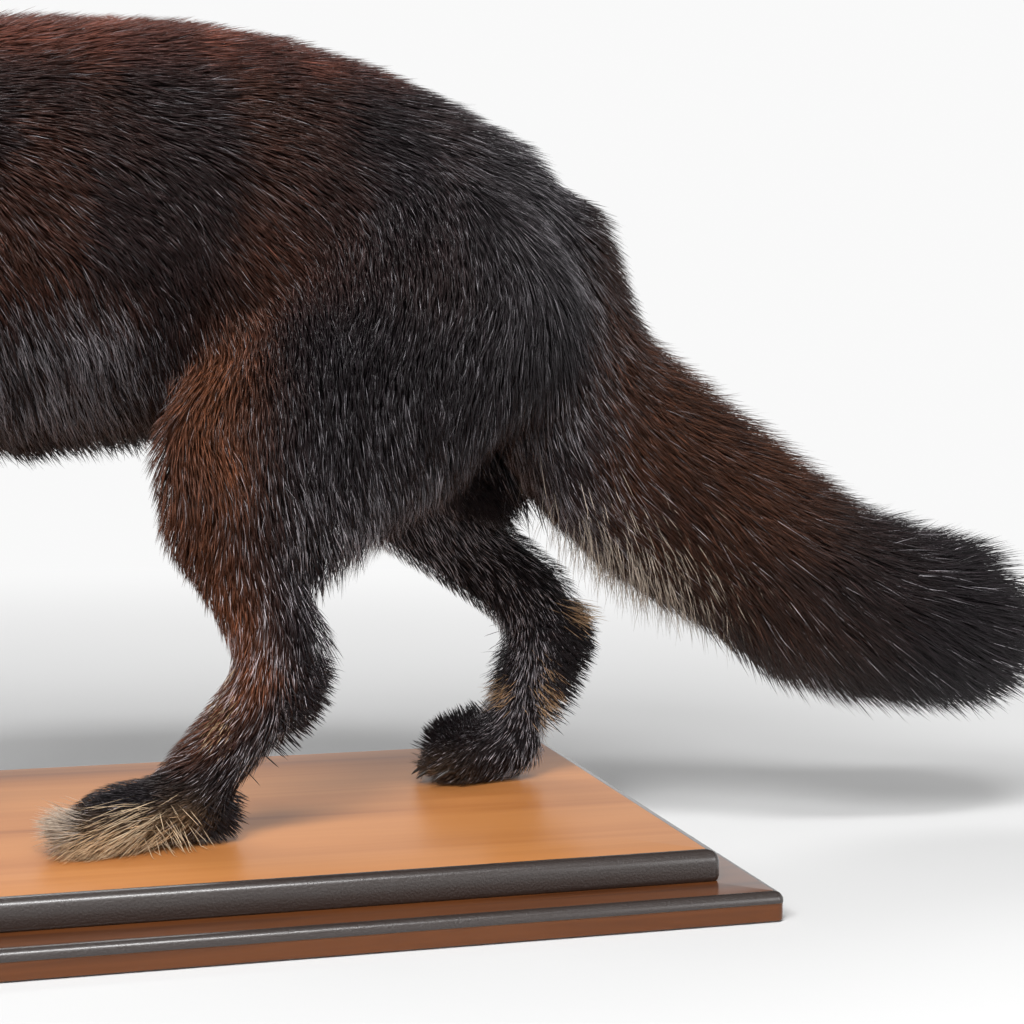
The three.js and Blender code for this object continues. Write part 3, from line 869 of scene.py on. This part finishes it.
def grow_clumps(skin):
    """The tufts of CLUMPS, in the form that grow_coat gives."""
    groups = []
    for node, place, size, heading, length, height, width, count, colour, pale in CLUMPS.values():
        here = blob(skin.verts, np.array(place) + (0.0, 0.0, DECK), size)
        here = here * (skin.part == FLESH.index(node))
        chosen, corners = scatter(skin, here, count)
        normal = unit(at_roots(skin.normal, chosen, corners))
        flow = unit(unit(np.array(heading)) + RNG.normal(0.0, 0.16, (count, 3)))
        normal = unit(normal - (normal * flow).sum(axis=1, keepdims=True) * flow)
        lengths = length * RNG.uniform(0.55, 1.15, count)
        base = colour * RNG.lognormal(0.0, 0.25, count)[:, None]
        groups.append({
            "root": at_roots(skin.verts, chosen, corners), "normal": normal, "flow": flow,
            "part": skin.part[chosen[:, 0]], "length": lengths,
            "height": np.minimum(height * RNG.uniform(0.5, 1.1, count), 0.8 * lengths),
            "width": width * RNG.uniform(0.7, 1.2, count), "colour": base,
            "middle": mix(base, STRAW * 0.9, np.full(count, pale)), "guard": np.ones(count, bool),
        })
    return {key: np.concatenate([group[key] for group in groups]) for key in groups[0]}


def bare_places(skin):
    """0 where no hair grows: within the lids and on their rims, on the lips and under the nose pad."""
    clear = np.ones(len(skin.verts))
    face = np.flatnonzero(on_face(skin.verts))
    local = to_head(skin.verts[face])
    keep = np.ones(len(face))
    for side in SIDES.values():
        away = local - eye_centre(side)
        reach = np.linalg.norm(away, axis=1)
        gap = lid_opening(away / np.maximum(reach, 1e-6)[:, None], side)
        keep = np.where(reach < 1.6 * EYE_RADIUS, keep * smooth_step(0.1, 0.3, gap), keep)
    lips = np.abs(local[:, 2] - mouth_height(local[:, 0])) + 20 * (local[:, 0] > -88)
    keep *= smooth_step(1.2, 2.4, lips)
    keep *= smooth_step(1.15, 1.4, np.linalg.norm((local - NOSE_AT) / NOSE_SIZE, axis=1))
    clear[face] = keep
    clear[skin.verts[:, 2] < DECK + SOLE_HEIGHT] = 0.0
    return clear


def coat_lengths(root, normal, part, length, depth):
    """Longer hair in the belly's fringe, behind the thighs and on the cheeks, shorter on the muzzle."""
    names = KINDS[part]
    down = np.clip(-normal[:, 2], 0.0, 1.0)
    rear = smooth_step(0.2, 0.9, normal[:, 0]) * np.isin(names, ["thigh", "shank", "hindfoot", "upper_arm"])
    belly, fringe = down * (names == "trunk"), down * (names == "thigh")
    for share, longer, deeper in ((belly, 0.35, 0.2), (rear, 0.3, 0.35), (fringe, 0.6, 1.4)):
        length = length * (1 + longer * share)
        depth = depth * (1 + deeper * share)
    on_far_shank = smooth_step(-10.0, 15.0, root[:, 1]) * np.isin(names, ["shank", "hindfoot"])
    length = length * lerp(1.0, 0.7, on_far_shank)
    fullness = smooth_step(*TAIL_FILLS_OUT, root[:, 0])
    tail_length = lerp(COAT["trunk"][1], length, fullness) * (1 + 0.12 * down)
    length = np.where(names == "tail", tail_length, length)
    head = np.isin(names, HEAD_KINDS)
    local = to_head(root)
    back = smooth_step(-125.0, -45.0, local[:, 0])
    ruff = blob(local, (-14.0, 0.0, -14.0), (34.0, 400.0, 26.0))
    length = np.where(head, length * lerp(0.55, 1.4, back) * (1 + 0.5 * ruff), length)
    depth = np.where(head, depth * (1 + 0.2 * ruff), depth)
    by_eye = lerp(0.3, 1.0, smooth_step(1.1, 2.6, from_eyes(local) / EYE_RADIUS))
    return np.where(head, length * by_eye, length), np.where(head, depth * lerp(0.5, 1.0, by_eye), depth)


# A tuft's cross-section: left, right and the ridge away from the skin, as shares of its width.
SECTION = np.array([[-0.5, -0.08], [0.5, -0.08], [0.0, 0.26]])
# Where it has one between its root and its tip: (share of its length, share of its full width).
LOCK = [(0.6, 1.0)]
GUARD = [(0.4, 0.9), (0.78, 0.75)]
ARCH = 0.35  # how much a tuft rises before it lies down
SHADES = [0.35, 1.0, 1.15]  # how light a hair is at its root, its middle and its tip


def tuft_places(tufts, stops):
    """Corners of tufts: a root point, a triangle at each stop and a tip."""
    normal, flow = tufts["normal"], tufts["flow"]
    reach = np.sqrt(np.maximum(tufts["length"] ** 2 - tufts["height"] ** 2, 1e-6))
    across = np.cross(normal, flow)
    start = tufts["root"] - ROOT_DEPTH * normal
    corners = [start]
    for t, wide in stops:
        rise = t + ARCH * t * (1.0 - t)
        centre = start + (t * reach)[:, None] * flow
        centre = centre + (rise * (tufts["height"] + ROOT_DEPTH))[:, None] * normal
        width = (wide * tufts["width"])[:, None]
        corners += [centre + width * (a * across + b * normal) for a, b in SECTION]
    corners.append(tufts["root"] + reach[:, None] * flow + tufts["height"][:, None] * normal)
    return np.stack(corners, axis=1)


def tuft_mesh(tufts, stops):
    """Closed spindles: vertices, faces, and each corner's share of the length and place across."""
    verts = tuft_places(tufts, stops)
    faces = [(0, 1 + (i + 1) % 3, 1 + i) for i in range(3)]
    for ring in range(len(stops) - 1):
        base = 1 + 3 * ring
        for i in range(3):
            j = (i + 1) % 3
            faces += [(base + i, base + j, base + 3 + j), (base + i, base + 3 + j, base + 3 + i)]
    last = 1 + 3 * (len(stops) - 1)
    faces += [(last + i, last + (i + 1) % 3, last + 3) for i in range(3)]
    faces = np.array(faces)[None] + (np.arange(len(verts)) * verts.shape[1])[:, None, None]
    shares = np.array([0.0] + [t for t, _ in stops for _ in SECTION] + [1.0])
    sides = np.array([0.0] + [s[0] for _ in stops for s in SECTION] + [0.0])
    return verts, faces, shares, sides


def coat_piece(name, tufts, unwrapped, material):
    """One mesh of the coat, with its hairs' colours and its OFBake map."""
    verts, faces, rgb, uv, start = [], [], [], [], 0
    for kind, stops in ((~tufts["guard"], LOCK), (tufts["guard"], GUARD)):
        if not kind.any():
            continue
        some = {key: value[kind] for key, value in tufts.items()}
        v, f, shares, sides = tuft_mesh(some, stops)
        shade = np.interp(shares, [0.0, 0.5, 1.0], SHADES)
        # Painted highlight: a glint's pale colour rises along the hair to full at about three quarters of
        # its length and drops to about half at the tip. A clump's pale tip follows the same curve.
        lit = np.interp(shares, [0.35, 0.6, 0.78, 1.0], [0.0, 0.7, 1.0, 0.55])
        along = some["colour"][:, None] + lit[None, :, None] * (some["middle"] - some["colour"])[:, None]
        rgb.append((along * shade[None, :, None]).reshape(-1, 3))
        patch = np.stack([sides, shares - 0.5], axis=1) * PATCH
        uv.append((unwrapped[kind][:, None] + patch[None]).reshape(-1, 2))
        faces.append(f.reshape(-1, 3) + start)
        verts.append(v.reshape(-1, 3))
        start += len(verts[-1])
    faces = np.concatenate(faces)
    verts = np.concatenate(verts)
    verts[:, 2] = np.maximum(verts[:, 2], DECK + HAIR_CLEARANCE)
    obj = piece(name, verts, faces, material, np.concatenate(rgb))
    layer = obj.data.uv_layers.new(name="OFBake")
    layer.data.foreach_set("uv", np.concatenate(uv)[faces.ravel()].astype(np.float32).ravel())


def along_line(points, line):
    """How far along a line, 0 to 1, each point lies, and its angle about the line."""
    steps = np.linalg.norm(np.diff(line, axis=0), axis=1)
    starts = np.concatenate([[0.0], np.cumsum(steps)])
    best = np.full(len(points), np.inf)
    share, angle = np.zeros(len(points)), np.zeros(len(points))
    for i, (a, b) in enumerate(zip(line[:-1], line[1:])):
        along, t, away = onto(points, a, b)
        reach = np.linalg.norm(away, axis=1)
        above = unit(np.cross(along, np.array([0.0, 1.0, 0.0])))
        closer = reach < best
        best = np.where(closer, reach, best)
        share = np.where(closer, (starts[i] + t) / starts[-1], share)
        angle = np.where(closer, np.arctan2(away[:, 1], away @ above), angle)
    return share, angle


def unwrap(roots, normals, part):
    """Where each root lies on an unwrap of one piece: round and along each of its limbs, side by side."""
    uv = np.zeros((len(roots), 2))
    island = np.zeros(len(roots), int)
    for i, name in enumerate(FLESH):
        mine = part == i
        if not mine.any():
            continue
        kind = part_of(name)
        if kind in HEAD_KINDS:
            local = to_head(roots[mine])
            uv[mine] = np.stack([np.arctan2(local[:, 1], -(local[:, 2] + 8)), local[:, 0]], axis=1)
        elif kind == "ear":
            local = to_head(roots[mine])
            uv[mine] = local[:, [1, 2]]
            front = normals[mine] @ HEAD_TO_MODEL[:3, 0] < 0
            island[mine] = 1 + 2 * int(name.endswith("left")) + front
        else:
            share, angle = along_line(roots[mine], line_of(name))
            uv[mine] = np.stack([angle, share], axis=1)
            island[mine] = int(name.endswith("right"))
    used = np.unique(island)
    for strip, number in enumerate(used):
        mine = island == number
        low, high = uv[mine].min(axis=0), uv[mine].max(axis=0)
        flat = (uv[mine] - low) / np.maximum(high - low, 1e-6) * (1.0 - 2.0 * UV_MARGIN) + UV_MARGIN
        flat[:, 0] = (strip + flat[:, 0]) / len(used)
        uv[mine] = np.clip(flat, UV_EDGE, 1.0 - UV_EDGE)
    return uv


def build_coat(skin, material):
    coat, clumps = grow_coat(skin), grow_clumps(skin)
    tufts = {key: np.concatenate([coat[key], clumps[key]]) for key in coat}
    names = np.array(FLESH)[tufts["part"]]
    for name, parts in PIECES.items():
        mine = np.isin(names, parts)
        if parts == ["trunk"]:
            mine &= (tufts["root"][:, 1] < 0) == name.endswith("left")
            mine &= (tufts["root"][:, 0] < LOIN_START) == ("chest" in name)
        if name.startswith("coat_tail"):
            mine &= (tufts["root"][:, 0] < BRUSH_START) == name.endswith("root")
        some = {key: value[mine] for key, value in tufts.items()}
        unwrapped = unwrap(some["root"], some["normal"], some["part"])
        coat_piece(name, some, unwrapped, material)


# ---- Materials ------------------------------------------------------------------------------------------


def principled(name, **sockets):
    """A material with one Principled shader and the given socket values; returns both."""
    material = bpy.data.materials.new(name)
    material.use_nodes = True
    shader = material.node_tree.nodes["Principled BSDF"]
    for socket, value in sockets.items():
        shader.inputs[socket.replace("_", " ")].default_value = value
    return material, shader


def vertex_coloured(name, **sockets):
    """A material that takes its colour from the coat_colour attribute."""
    material, shader = principled(name, **sockets)
    colour = material.node_tree.nodes.new("ShaderNodeAttribute")
    colour.attribute_name = "coat_colour"
    material.node_tree.links.new(colour.outputs["Color"], shader.inputs["Base Color"])
    return material


def new_grain(material, scale, stretch, detail):
    """A noise in the object's own frame, drawn out by `stretch`; returns its node."""
    nodes, links = material.node_tree.nodes, material.node_tree.links
    place = nodes.new("ShaderNodeTexCoord")
    mapping = nodes.new("ShaderNodeMapping")
    mapping.inputs["Scale"].default_value = stretch
    grain = nodes.new("ShaderNodeTexNoise")
    grain.inputs["Scale"].default_value = scale
    grain.inputs["Detail"].default_value = detail
    links.new(place.outputs["Object"], mapping.inputs["Vector"])
    links.new(mapping.outputs["Vector"], grain.inputs["Vector"])
    return grain


def add_bump(material, scale, strength, distance):
    """Fine unevenness, as deep as `distance` metres."""
    grain = new_grain(material, scale, (1.0, 1.0, 1.0), 3.0)
    nodes, links = material.node_tree.nodes, material.node_tree.links
    bump = nodes.new("ShaderNodeBump")
    bump.inputs["Strength"].default_value = strength
    bump.inputs["Distance"].default_value = distance
    links.new(grain.outputs["Fac"], bump.inputs["Height"])
    links.new(bump.outputs["Normal"], nodes["Principled BSDF"].inputs["Normal"])


def wood(name, stops, scale, stretch, **sockets):
    """Varnished wood: a noise drawn out along the board's length, run through the colours in stops."""
    material, shader = principled(name, **sockets)
    grain = new_grain(material, scale, stretch, 6.0)
    grain.inputs["Roughness"].default_value = 0.55
    grain.inputs["Distortion"].default_value = 0.6
    nodes, links = material.node_tree.nodes, material.node_tree.links
    ramp = nodes.new("ShaderNodeValToRGB")
    ends = ramp.color_ramp.elements
    for end, (position, colour) in ((ends[0], stops[0]), (ends[1], stops[-1])):
        end.position = position
        end.color = (*colour, 1.0)
    for position, colour in stops[1:-1]:
        ramp.color_ramp.elements.new(position).color = (*colour, 1.0)
    links.new(grain.outputs["Fac"], ramp.inputs["Fac"])
    links.new(ramp.outputs["Color"], shader.inputs["Base Color"])
    return material


# ---- Eyes, nose, claws and whiskers ---------------------------------------------------------------------


def ball(segments, rings):
    """A unit ball about +X: vertices, triangles."""
    polar = np.linspace(0.0, np.pi, rings + 1)[1:-1]
    turn = np.arange(segments) * 2 * np.pi / segments
    x = np.repeat(np.cos(polar), segments)
    r = np.repeat(np.sin(polar), segments)
    turns = np.tile(turn, rings - 1)
    around = np.stack([x, r * np.cos(turns), r * np.sin(turns)], axis=1)
    verts = np.concatenate([[[1.0, 0.0, 0.0]], around, [[-1.0, 0.0, 0.0]]])
    faces = []
    for j in range(segments):
        k = (j + 1) % segments
        faces.append((0, 1 + j, 1 + k))
        last = 1 + (rings - 2) * segments
        faces.append((last + k, last + j, len(verts) - 1))
        for i in range(rings - 2):
            a, b = 1 + i * segments + j, 1 + i * segments + k
            faces.append((a, a + segments, b + segments))
            faces.append((a, b + segments, b))
    return verts, np.array(faces)


AMBER = np.array([0.17, 0.064, 0.009])
AMBER_EDGE = np.array([0.028, 0.010, 0.003])
PUPIL = np.array([0.002, 0.002, 0.002])
IRIS_SIZE = 0.66  # of the eye's radius
CORNEA_RISE = 0.045  # of the eye's radius
NOSE_COLOUR = np.array([0.012, 0.010, 0.011])
NOSE_TILT = 14.0  # degrees
NOSE_SET_BACK = (2.4, 0.0, 0.0)


def build_eye(side_name, material):
    """An amber glass eye with an upright slit pupil, looking out between the lids."""
    side = SIDES[side_name]
    verts, faces = ball(72, 54)
    gaze = unit(eye_axes(side)[0] + 0.12 * np.array([-1.0, 0.0, 0.0]))
    up = unit(np.array([0.05, 0.0, 1.0]) - gaze[2] * gaze)
    wide = np.cross(up, gaze)
    a, b = verts[:, 1], verts[:, 2]
    radial = np.sqrt(a * a + b * b)
    front = verts[:, 0] > 0
    iris = np.clip(radial / IRIS_SIZE, 0.0, 1.0)
    angle = np.arctan2(b, a)
    fibres = 0.12 * np.sin(37 * angle) + 0.1 * np.sin(61 * angle + 9 * iris)
    colour = mix(AMBER, AMBER_EDGE, np.clip(iris**3 + fibres * iris, 0, 1))
    slit = (a / 0.11) ** 2 + (b / 0.42) ** 2 < 1.0
    colour = np.where((slit & front)[:, None], PUPIL, colour)
    colour = np.where(((radial > IRIS_SIZE) | ~front)[:, None], PUPIL * 3, colour)
    radius = EYE_RADIUS * (1 + CORNEA_RISE * np.exp(-((radial / 0.45) ** 2)) * front)
    local = eye_centre(side) + radius[:, None] * (verts[:, :1] * gaze + a[:, None] * wide + b[:, None] * up)
    obj = piece("glass_eye_" + side_name, from_head(local), faces, material, colour)
    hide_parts("eye_" + side_name)


def build_nose(material):
    """The nose pad, with a groove down its middle and two comma-shaped nostrils that open to the sides."""
    verts, faces = ball(96, 72)
    away = np.array([-verts[:, 0], verts[:, 1], verts[:, 2]]).T
    size = np.array(NOSE_SIZE) * (1.05, 1.02, 1.05)
    local = away * size
    y, z = away[:, 1], away[:, 2]
    front = away[:, 0] < 0
    local[:, 0] += 1.4 * front * np.exp(-((y / 0.13) ** 2)) * smooth_step(0.75, 0.2, z)
    for side in SIDES.values():
        pit = np.exp(-(((y - side * 0.48) / 0.2) ** 2) - (((z + 0.08 + 0.3 * (abs(y) - 0.48)) / 0.22) ** 2))
        slot = np.exp(-(((y - side * 0.82) / 0.2) ** 2) - (((z + 0.3) / 0.12) ** 2))
        local[:, 0] += 4.2 * pit * front
        local[:, 1] -= side * 2.2 * slot * front
    tilt = np.array(Matrix.Rotation(math.radians(NOSE_TILT), 3, "Y"))
    pits = 0.25 + 0.75 * smooth_step(0.0, -1.0, local[:, 0] - away[:, 0] * size[0])
    colour = NOSE_COLOUR * (1.0 - 0.6 * (1 - pits))[:, None]
    verts = from_head(local @ tilt.T + NOSE_AT + NOSE_SET_BACK)
    obj = piece("nose_pad", verts, faces[:, ::-1], material, colour)
    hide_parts("nose")


def tubes(paths, radii, sides=6):
    """Closed tapering tubes along paths: an array (tubes, points, 3), with a radius for each point."""
    count, points, _ = paths.shape
    along = unit(np.gradient(paths, axis=1))
    side = unit(np.cross(along, np.array([0.11, 0.23, 0.97])))
    up = np.cross(side, along)
    turn = np.arange(sides) * 2 * np.pi / sides
    round_it = np.cos(turn)[:, None] * side[:, :, None] + np.sin(turn)[:, None] * up[:, :, None]
    ring = paths[:, :, None] + radii[:, :, None, None] * round_it
    verts = np.concatenate([ring.reshape(count, -1, 3), paths[:, :1], paths[:, -1:]], axis=1)
    faces = []
    for j in range(sides):
        k = (j + 1) % sides
        for i in range(points - 1):
            a, b = i * sides + j, i * sides + k
            faces += [(a, b, b + sides), (a, b + sides, a + sides)]
        faces.append((points * sides, k, j))
        top = (points - 1) * sides
        faces.append((top + j, top + k, points * sides + 1))
    faces = np.array(faces)[None] + (np.arange(count) * verts.shape[1])[:, None, None]
    return verts.reshape(-1, 3), faces.reshape(-1, 3)


def build_whiskers(material):
    """Stiff black whiskers in rows on each side of the muzzle, sweeping back."""
    paths, radii = [], []
    rng = np.random.default_rng(7)
    for side in SIDES.values():
        for row in range(3):
            for place in range(4):
                across, height = 15.0 + 1.1 * place, -15.0 + 4.4 * row - 0.6 * place
                root = np.array([-140.0 + 8.0 * place, side * across, height])
                length = rng.uniform(34.0, 52.0) + 4.0 * place
                heading = unit(np.array([0.35 + 0.12 * place, side * 0.95, -0.22 + 0.18 * row]))
                t = np.linspace(0.0, 1.0, 9)[:, None]
                bend = np.array([0.5, -side * 0.18, -0.16]) * length
                paths.append(root + t * length * heading + t**2 * bend)
                radii.append(0.28 * (1.0 - t[:, 0]) ** 0.8 + 0.03)
    verts, faces = tubes(np.array(paths), np.array(radii))
    piece("whiskers", from_head(verts), faces, material)


def build_claws(material):
    """Four curved claws at the front of each paw."""
    paths, radii = [], []
    for limb, toe in CLAW_TIPS.items():
        y = LEG_JOINTS[limb][4][1]
        for across in (-1.0, -1 / 3, 1 / 3, 1.0):
            reach = toe + 13.0 + 6.0 * across**2
            t = np.linspace(0.0, 1.0, 10)
            x = reach + 1.5 - 15.5 * t
            z = DECK + 8.5 + 2.0 * t - 7.4 * t**2
            paths.append(np.stack([x, y + across * (16.9 + 1.2 * t), z], axis=1))
            radii.append(2.1 * (1.0 - t) ** 0.65 + 0.12)
    verts, faces = tubes(np.array(paths), np.array(radii), 10)
    piece("claws", verts, faces, material)


# ---- Base -----------------------------------------------------------------------------------------------

CORNER = 4.0  # radius of the boards' corners seen from above
CORNER_POINTS = 9
EDGE_STEPS = 8
FACE, EDGE, LINE = 0, 1, 2  # places in a board's list of materials

# Colours along the grain of the two woods.
HONEY_STOPS = [
    (0.3, (0.21, 0.070, 0.020)),
    (0.45, (0.33, 0.125, 0.036)),
    (0.6, (0.39, 0.158, 0.048)),
    (0.8, (0.30, 0.116, 0.034)),
]
BROWN_STOPS = [(0.3, (0.044, 0.013, 0.004)), (0.55, (0.096, 0.030, 0.008)), (0.8, (0.060, 0.018, 0.005))]


def board(name, spec, profile, materials):
    """A board lofted from its profile: rows of (inset, height, material) from the underside to the top."""
    half_x, half_y = spec["length"] / 2, spec["depth"] / 2
    turns = np.concatenate([np.linspace(q * 90.0, q * 90.0 + 90.0, CORNER_POINTS) for q in range(4)])
    signs = np.repeat([(1, 1), (-1, 1), (-1, -1), (1, -1)], CORNER_POINTS, axis=0)
    rings = []
    for inset, height, _ in profile:
        radius = max(CORNER - inset, 0.8)
        centre = signs * (half_x - inset - radius, half_y - inset - radius)
        rim = radius * np.stack([np.cos(np.radians(turns)), np.sin(np.radians(turns))], axis=1)
        rings.append(np.column_stack([centre + rim, np.full(len(turns), height)]))
    verts = np.concatenate(rings)
    count = len(turns)
    mesh = bpy.data.meshes.new(name)
    faces, slots = [tuple(range(count))[::-1]], [profile[0][2]]
    for row in range(len(profile) - 1):
        for j in range(count):
            k = (j + 1) % count
            a, b = row * count, (row + 1) * count
            faces.append((a + j, a + k, b + k, b + j))
            slots.append(profile[row + 1][2])
    top = (len(profile) - 1) * count
    faces.append(tuple(range(top, top + count)))
    slots.append(profile[-1][2])
    mesh.from_pydata((verts * MM).tolist(), [], faces)
    for material in materials:
        mesh.materials.append(material)
    mesh.polygons.foreach_set("material_index", slots)
    mesh.polygons.foreach_set("use_smooth", [True] * len(faces))
    mesh.set_sharp_from_angle(angle=math.radians(32.0))
    obj = linked(name, mesh)
    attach(obj, "root")
    return obj


def rounded(high, radius, start=0.0):
    """Rows of a black quarter-round edge that ends at `high`, from its outer side to its top."""
    rows = []
    for i in range(EDGE_STEPS + 1):
        angle = math.radians(lerp(start, 90.0, i / EDGE_STEPS))
        rows.append((radius * (1 - math.cos(angle)), high - radius + radius * math.sin(angle), EDGE))
    return rows


def build_base():
    honey = wood(
        "honey_varnish", HONEY_STOPS, 6.0, (0.16, 4.0, 4.0), Roughness=0.4, Specular_IOR_Level=0.05,
        Coat_Weight=0.28, Coat_Roughness=0.24, Coat_IOR=1.4,
    )
    ebony, _ = principled(
        "ebonised_edge", Base_Color=(0.021, 0.0145, 0.0125, 1.0), Roughness=0.4, Specular_IOR_Level=0.2,
        Coat_Weight=1.0, Coat_Roughness=0.27,
    )
    add_bump(ebony, 900.0, 0.8, 0.0007)
    brown = wood(
        "brown_varnish", BROWN_STOPS, 14.0, (0.3, 6.0, 6.0), Roughness=0.32, Specular_IOR_Level=0.1,
        Coat_Weight=0.6, Coat_Roughness=0.12, Coat_IOR=1.42,
    )
    low, high = UPPER["low"], UPPER["high"]
    underside = [(1.2, low, EDGE), (0.5, low + 0.7, EDGE), (0.0, low + 2.5, EDGE)]
    profile = underside + rounded(high, UPPER["edge"]) + [(40.0, high, FACE)]
    upper = board("upper_board", UPPER, profile, [honey, ebony])
    # The lower board's front is brown with a thin honey line under its black edge.
    front = [(1.0, 0.0, FACE), (0.3, 0.5, FACE), (0.3, 8.0, FACE), (0.7, 8.5, LINE), (0.7, 8.8, LINE)]
    high = LOWER["high"]
    profile = front + rounded(high, LOWER["edge"], start=-10.0) + [(30.0, high, FACE)]
    lower = board("lower_board", LOWER, profile, [brown, ebony, honey])
    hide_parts("base_upper_board")
    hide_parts("base_lower_board")


# ---- Stage, light and camera ----------------------------------------------------------------------------

# Lengths from here on are in metres. Each light: its place, what it is aimed at, its size and its watts.
FOX_MIDDLE = (0.1, 0.0, 0.25)
LIGHTS = {
    "key": ((-0.9, -1.5, 1.6), FOX_MIDDLE, (1.1, 0.6), 58.0),
    "fill": ((1.5, -1.5, 0.7), FOX_MIDDLE, (0.9, 0.9), 13.0),
    "back": ((0.2, 1.3, 1.6), FOX_MIDDLE, (1.4, 0.6), 16.0),
    "strip": ((0.10, -0.95, 1.45), (0.10, -0.14, 0.0), (0.75, 0.20), 21.0),
}
WHITE = (1.0, 1.0, 1.0, 1.0)
FLOOR_SIZE = 60.0
FLOOR_DROP = 0.0005  # the floor lies this far under the base
FLOOR_FADES = (0.4, 1.5)  # between these distances the floor turns from lit grey to plain white
FLOOR_GREY = 0.52
SURROUND_LIGHT = 0.95  # of the white surround, as bright as the floor's far part
OVERHEAD_LIGHT = 0.25
SURROUND_FADES = (0.22, 0.5)  # the upward part of a direction, between eye level and overhead
CAMERA_AT = (0.0, -0.998, (DECK + 223.0) * MM)
CAMERA_HEADING, CAMERA_PITCH = 15.48, -4.26  # degrees, to the right and up
LENS, SENSOR = 71.75, 36.0  # millimetres


def fade(nodes, between, near, far):
    """A node that goes smoothly from near to far as its Value goes through between."""
    node = nodes.new("ShaderNodeMapRange")
    node.interpolation_type = "SMOOTHSTEP"
    for socket, value in zip(("From Min", "From Max", "To Min", "To Max"), (*between, near, far)):
        node.inputs[socket].default_value = value
    return node


def aimed(obj, place, direction):
    obj.location = place
    obj.rotation_euler = direction.to_track_quat("-Z", "Y").to_euler()


def build_floor():
    """A pale floor that fades into the white surround."""
    material, shader = principled("floor", Roughness=1.0, Specular_IOR_Level=0.0)
    shader.inputs["Emission Color"].default_value = WHITE
    nodes, links = material.node_tree.nodes, material.node_tree.links
    place = nodes.new("ShaderNodeTexCoord")
    length = nodes.new("ShaderNodeVectorMath")
    length.operation = "LENGTH"
    links.new(place.outputs["Object"], length.inputs[0])
    ramps = {"Base Color": (FLOOR_GREY, 0.0), "Emission Strength": (0.0, SURROUND_LIGHT)}
    for socket, (near, far) in ramps.items():
        ramp = fade(nodes, FLOOR_FADES, near, far)
        links.new(length.outputs["Value"], ramp.inputs["Value"])
        links.new(ramp.outputs["Result"], shader.inputs[socket])
    bpy.ops.mesh.primitive_plane_add(size=FLOOR_SIZE, location=(0.0, 0.0, -FLOOR_DROP))
    floor = bpy.context.object
    floor.name = "floor"
    floor.data.materials.append(material)


def build_surround():
    """A white surround like a studio cove: bright all round at eye level, dimmer overhead."""
    world = bpy.data.worlds.new("surround")
    world.use_nodes = True
    nodes, links = world.node_tree.nodes, world.node_tree.links
    place = nodes.new("ShaderNodeTexCoord")
    split = nodes.new("ShaderNodeSeparateXYZ")
    height = fade(nodes, SURROUND_FADES, SURROUND_LIGHT, OVERHEAD_LIGHT)
    nodes["Background"].inputs["Color"].default_value = WHITE
    links.new(place.outputs["Generated"], split.inputs["Vector"])
    links.new(split.outputs["Z"], height.inputs["Value"])
    links.new(height.outputs["Result"], nodes["Background"].inputs["Strength"])
    bpy.context.scene.world = world


def build_lights():
    """Soft studio lights, and a narrow one over the base's front edge."""
    for name, (place, target, size, power) in LIGHTS.items():
        light = bpy.data.lights.new(name, "AREA")
        light.shape = "RECTANGLE"
        light.size, light.size_y = size
        light.energy = power
        obj = linked(name, light)
        aimed(obj, place, Vector(target) - Vector(place))


def build_camera():
    """A view of the rear of the fox and the end of its base."""
    camera = bpy.data.cameras.new("camera")
    camera.sensor_width = SENSOR
    camera.lens = LENS
    camera.clip_start = 0.02
    obj = linked("camera", camera)
    heading, pitch = math.radians(CAMERA_HEADING), math.radians(CAMERA_PITCH)
    level = math.cos(pitch)
    aimed(obj, CAMERA_AT, Vector((math.sin(heading) * level, math.cos(heading) * level, math.sin(pitch))))
    bpy.context.scene.camera = obj
    bpy.context.scene.view_settings.view_transform = "Standard"


# ---- The whole ------------------------------------------------------------------------------------------


def cover_skin(skin):
    """The skin's mesh, with the coat's markings on it a little darker as painted shade under the coat, and
    bare lips and nostrils.
    """
    rgb, _ = markings(skin.verts, skin.normal, skin.part)
    hairless = (bare_places(skin) < 0.5) & (to_head(skin.verts)[:, 0] < -60)
    hide = vertex_coloured("hide", Roughness=0.7, Specular_IOR_Level=0.12)
    add_bump(hide, 900.0, 0.6, 0.0008)
    # Painted shade: the skin under the coat takes its markings at 0.7 of their brightness.
    rgb = np.where(hairless[:, None], LIP, rgb * 0.7)
    obj = piece("skin", skin.verts, skin.faces, hide, rgb)
    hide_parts(*FLESH)


def build_fox(nodes):
    skin = build_skin(nodes)
    cover_skin(skin)
    build_coat(skin, vertex_coloured("fur", Roughness=0.36, Specular_IOR_Level=0.22))
    glass = vertex_coloured(
        "glass_eye", Roughness=0.12, Specular_IOR_Level=0.0,
        Coat_Weight=1.0, Coat_Roughness=0.02, Coat_IOR=1.38,
    )
    leather = vertex_coloured("nose_leather", Roughness=0.34)
    add_bump(leather, 1500.0, 0.5, 0.0004)
    horn, _ = principled("horn", Base_Color=(0.020, 0.015, 0.012, 1.0), Roughness=0.35)
    bristle, _ = principled("bristle", Base_Color=(0.008, 0.007, 0.007, 1.0), Roughness=0.4)
    for side in SIDES:
        build_eye(side, glass)
    build_nose(leather)
    build_whiskers(bristle)
    build_claws(horn)


def main():
    for obj in list(bpy.data.objects):
        bpy.data.objects.remove(obj)
    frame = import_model()
    build_base()
    build_fox(frame["nodes"])
    build_floor()
    build_surround()
    build_lights()
    build_camera()


main()
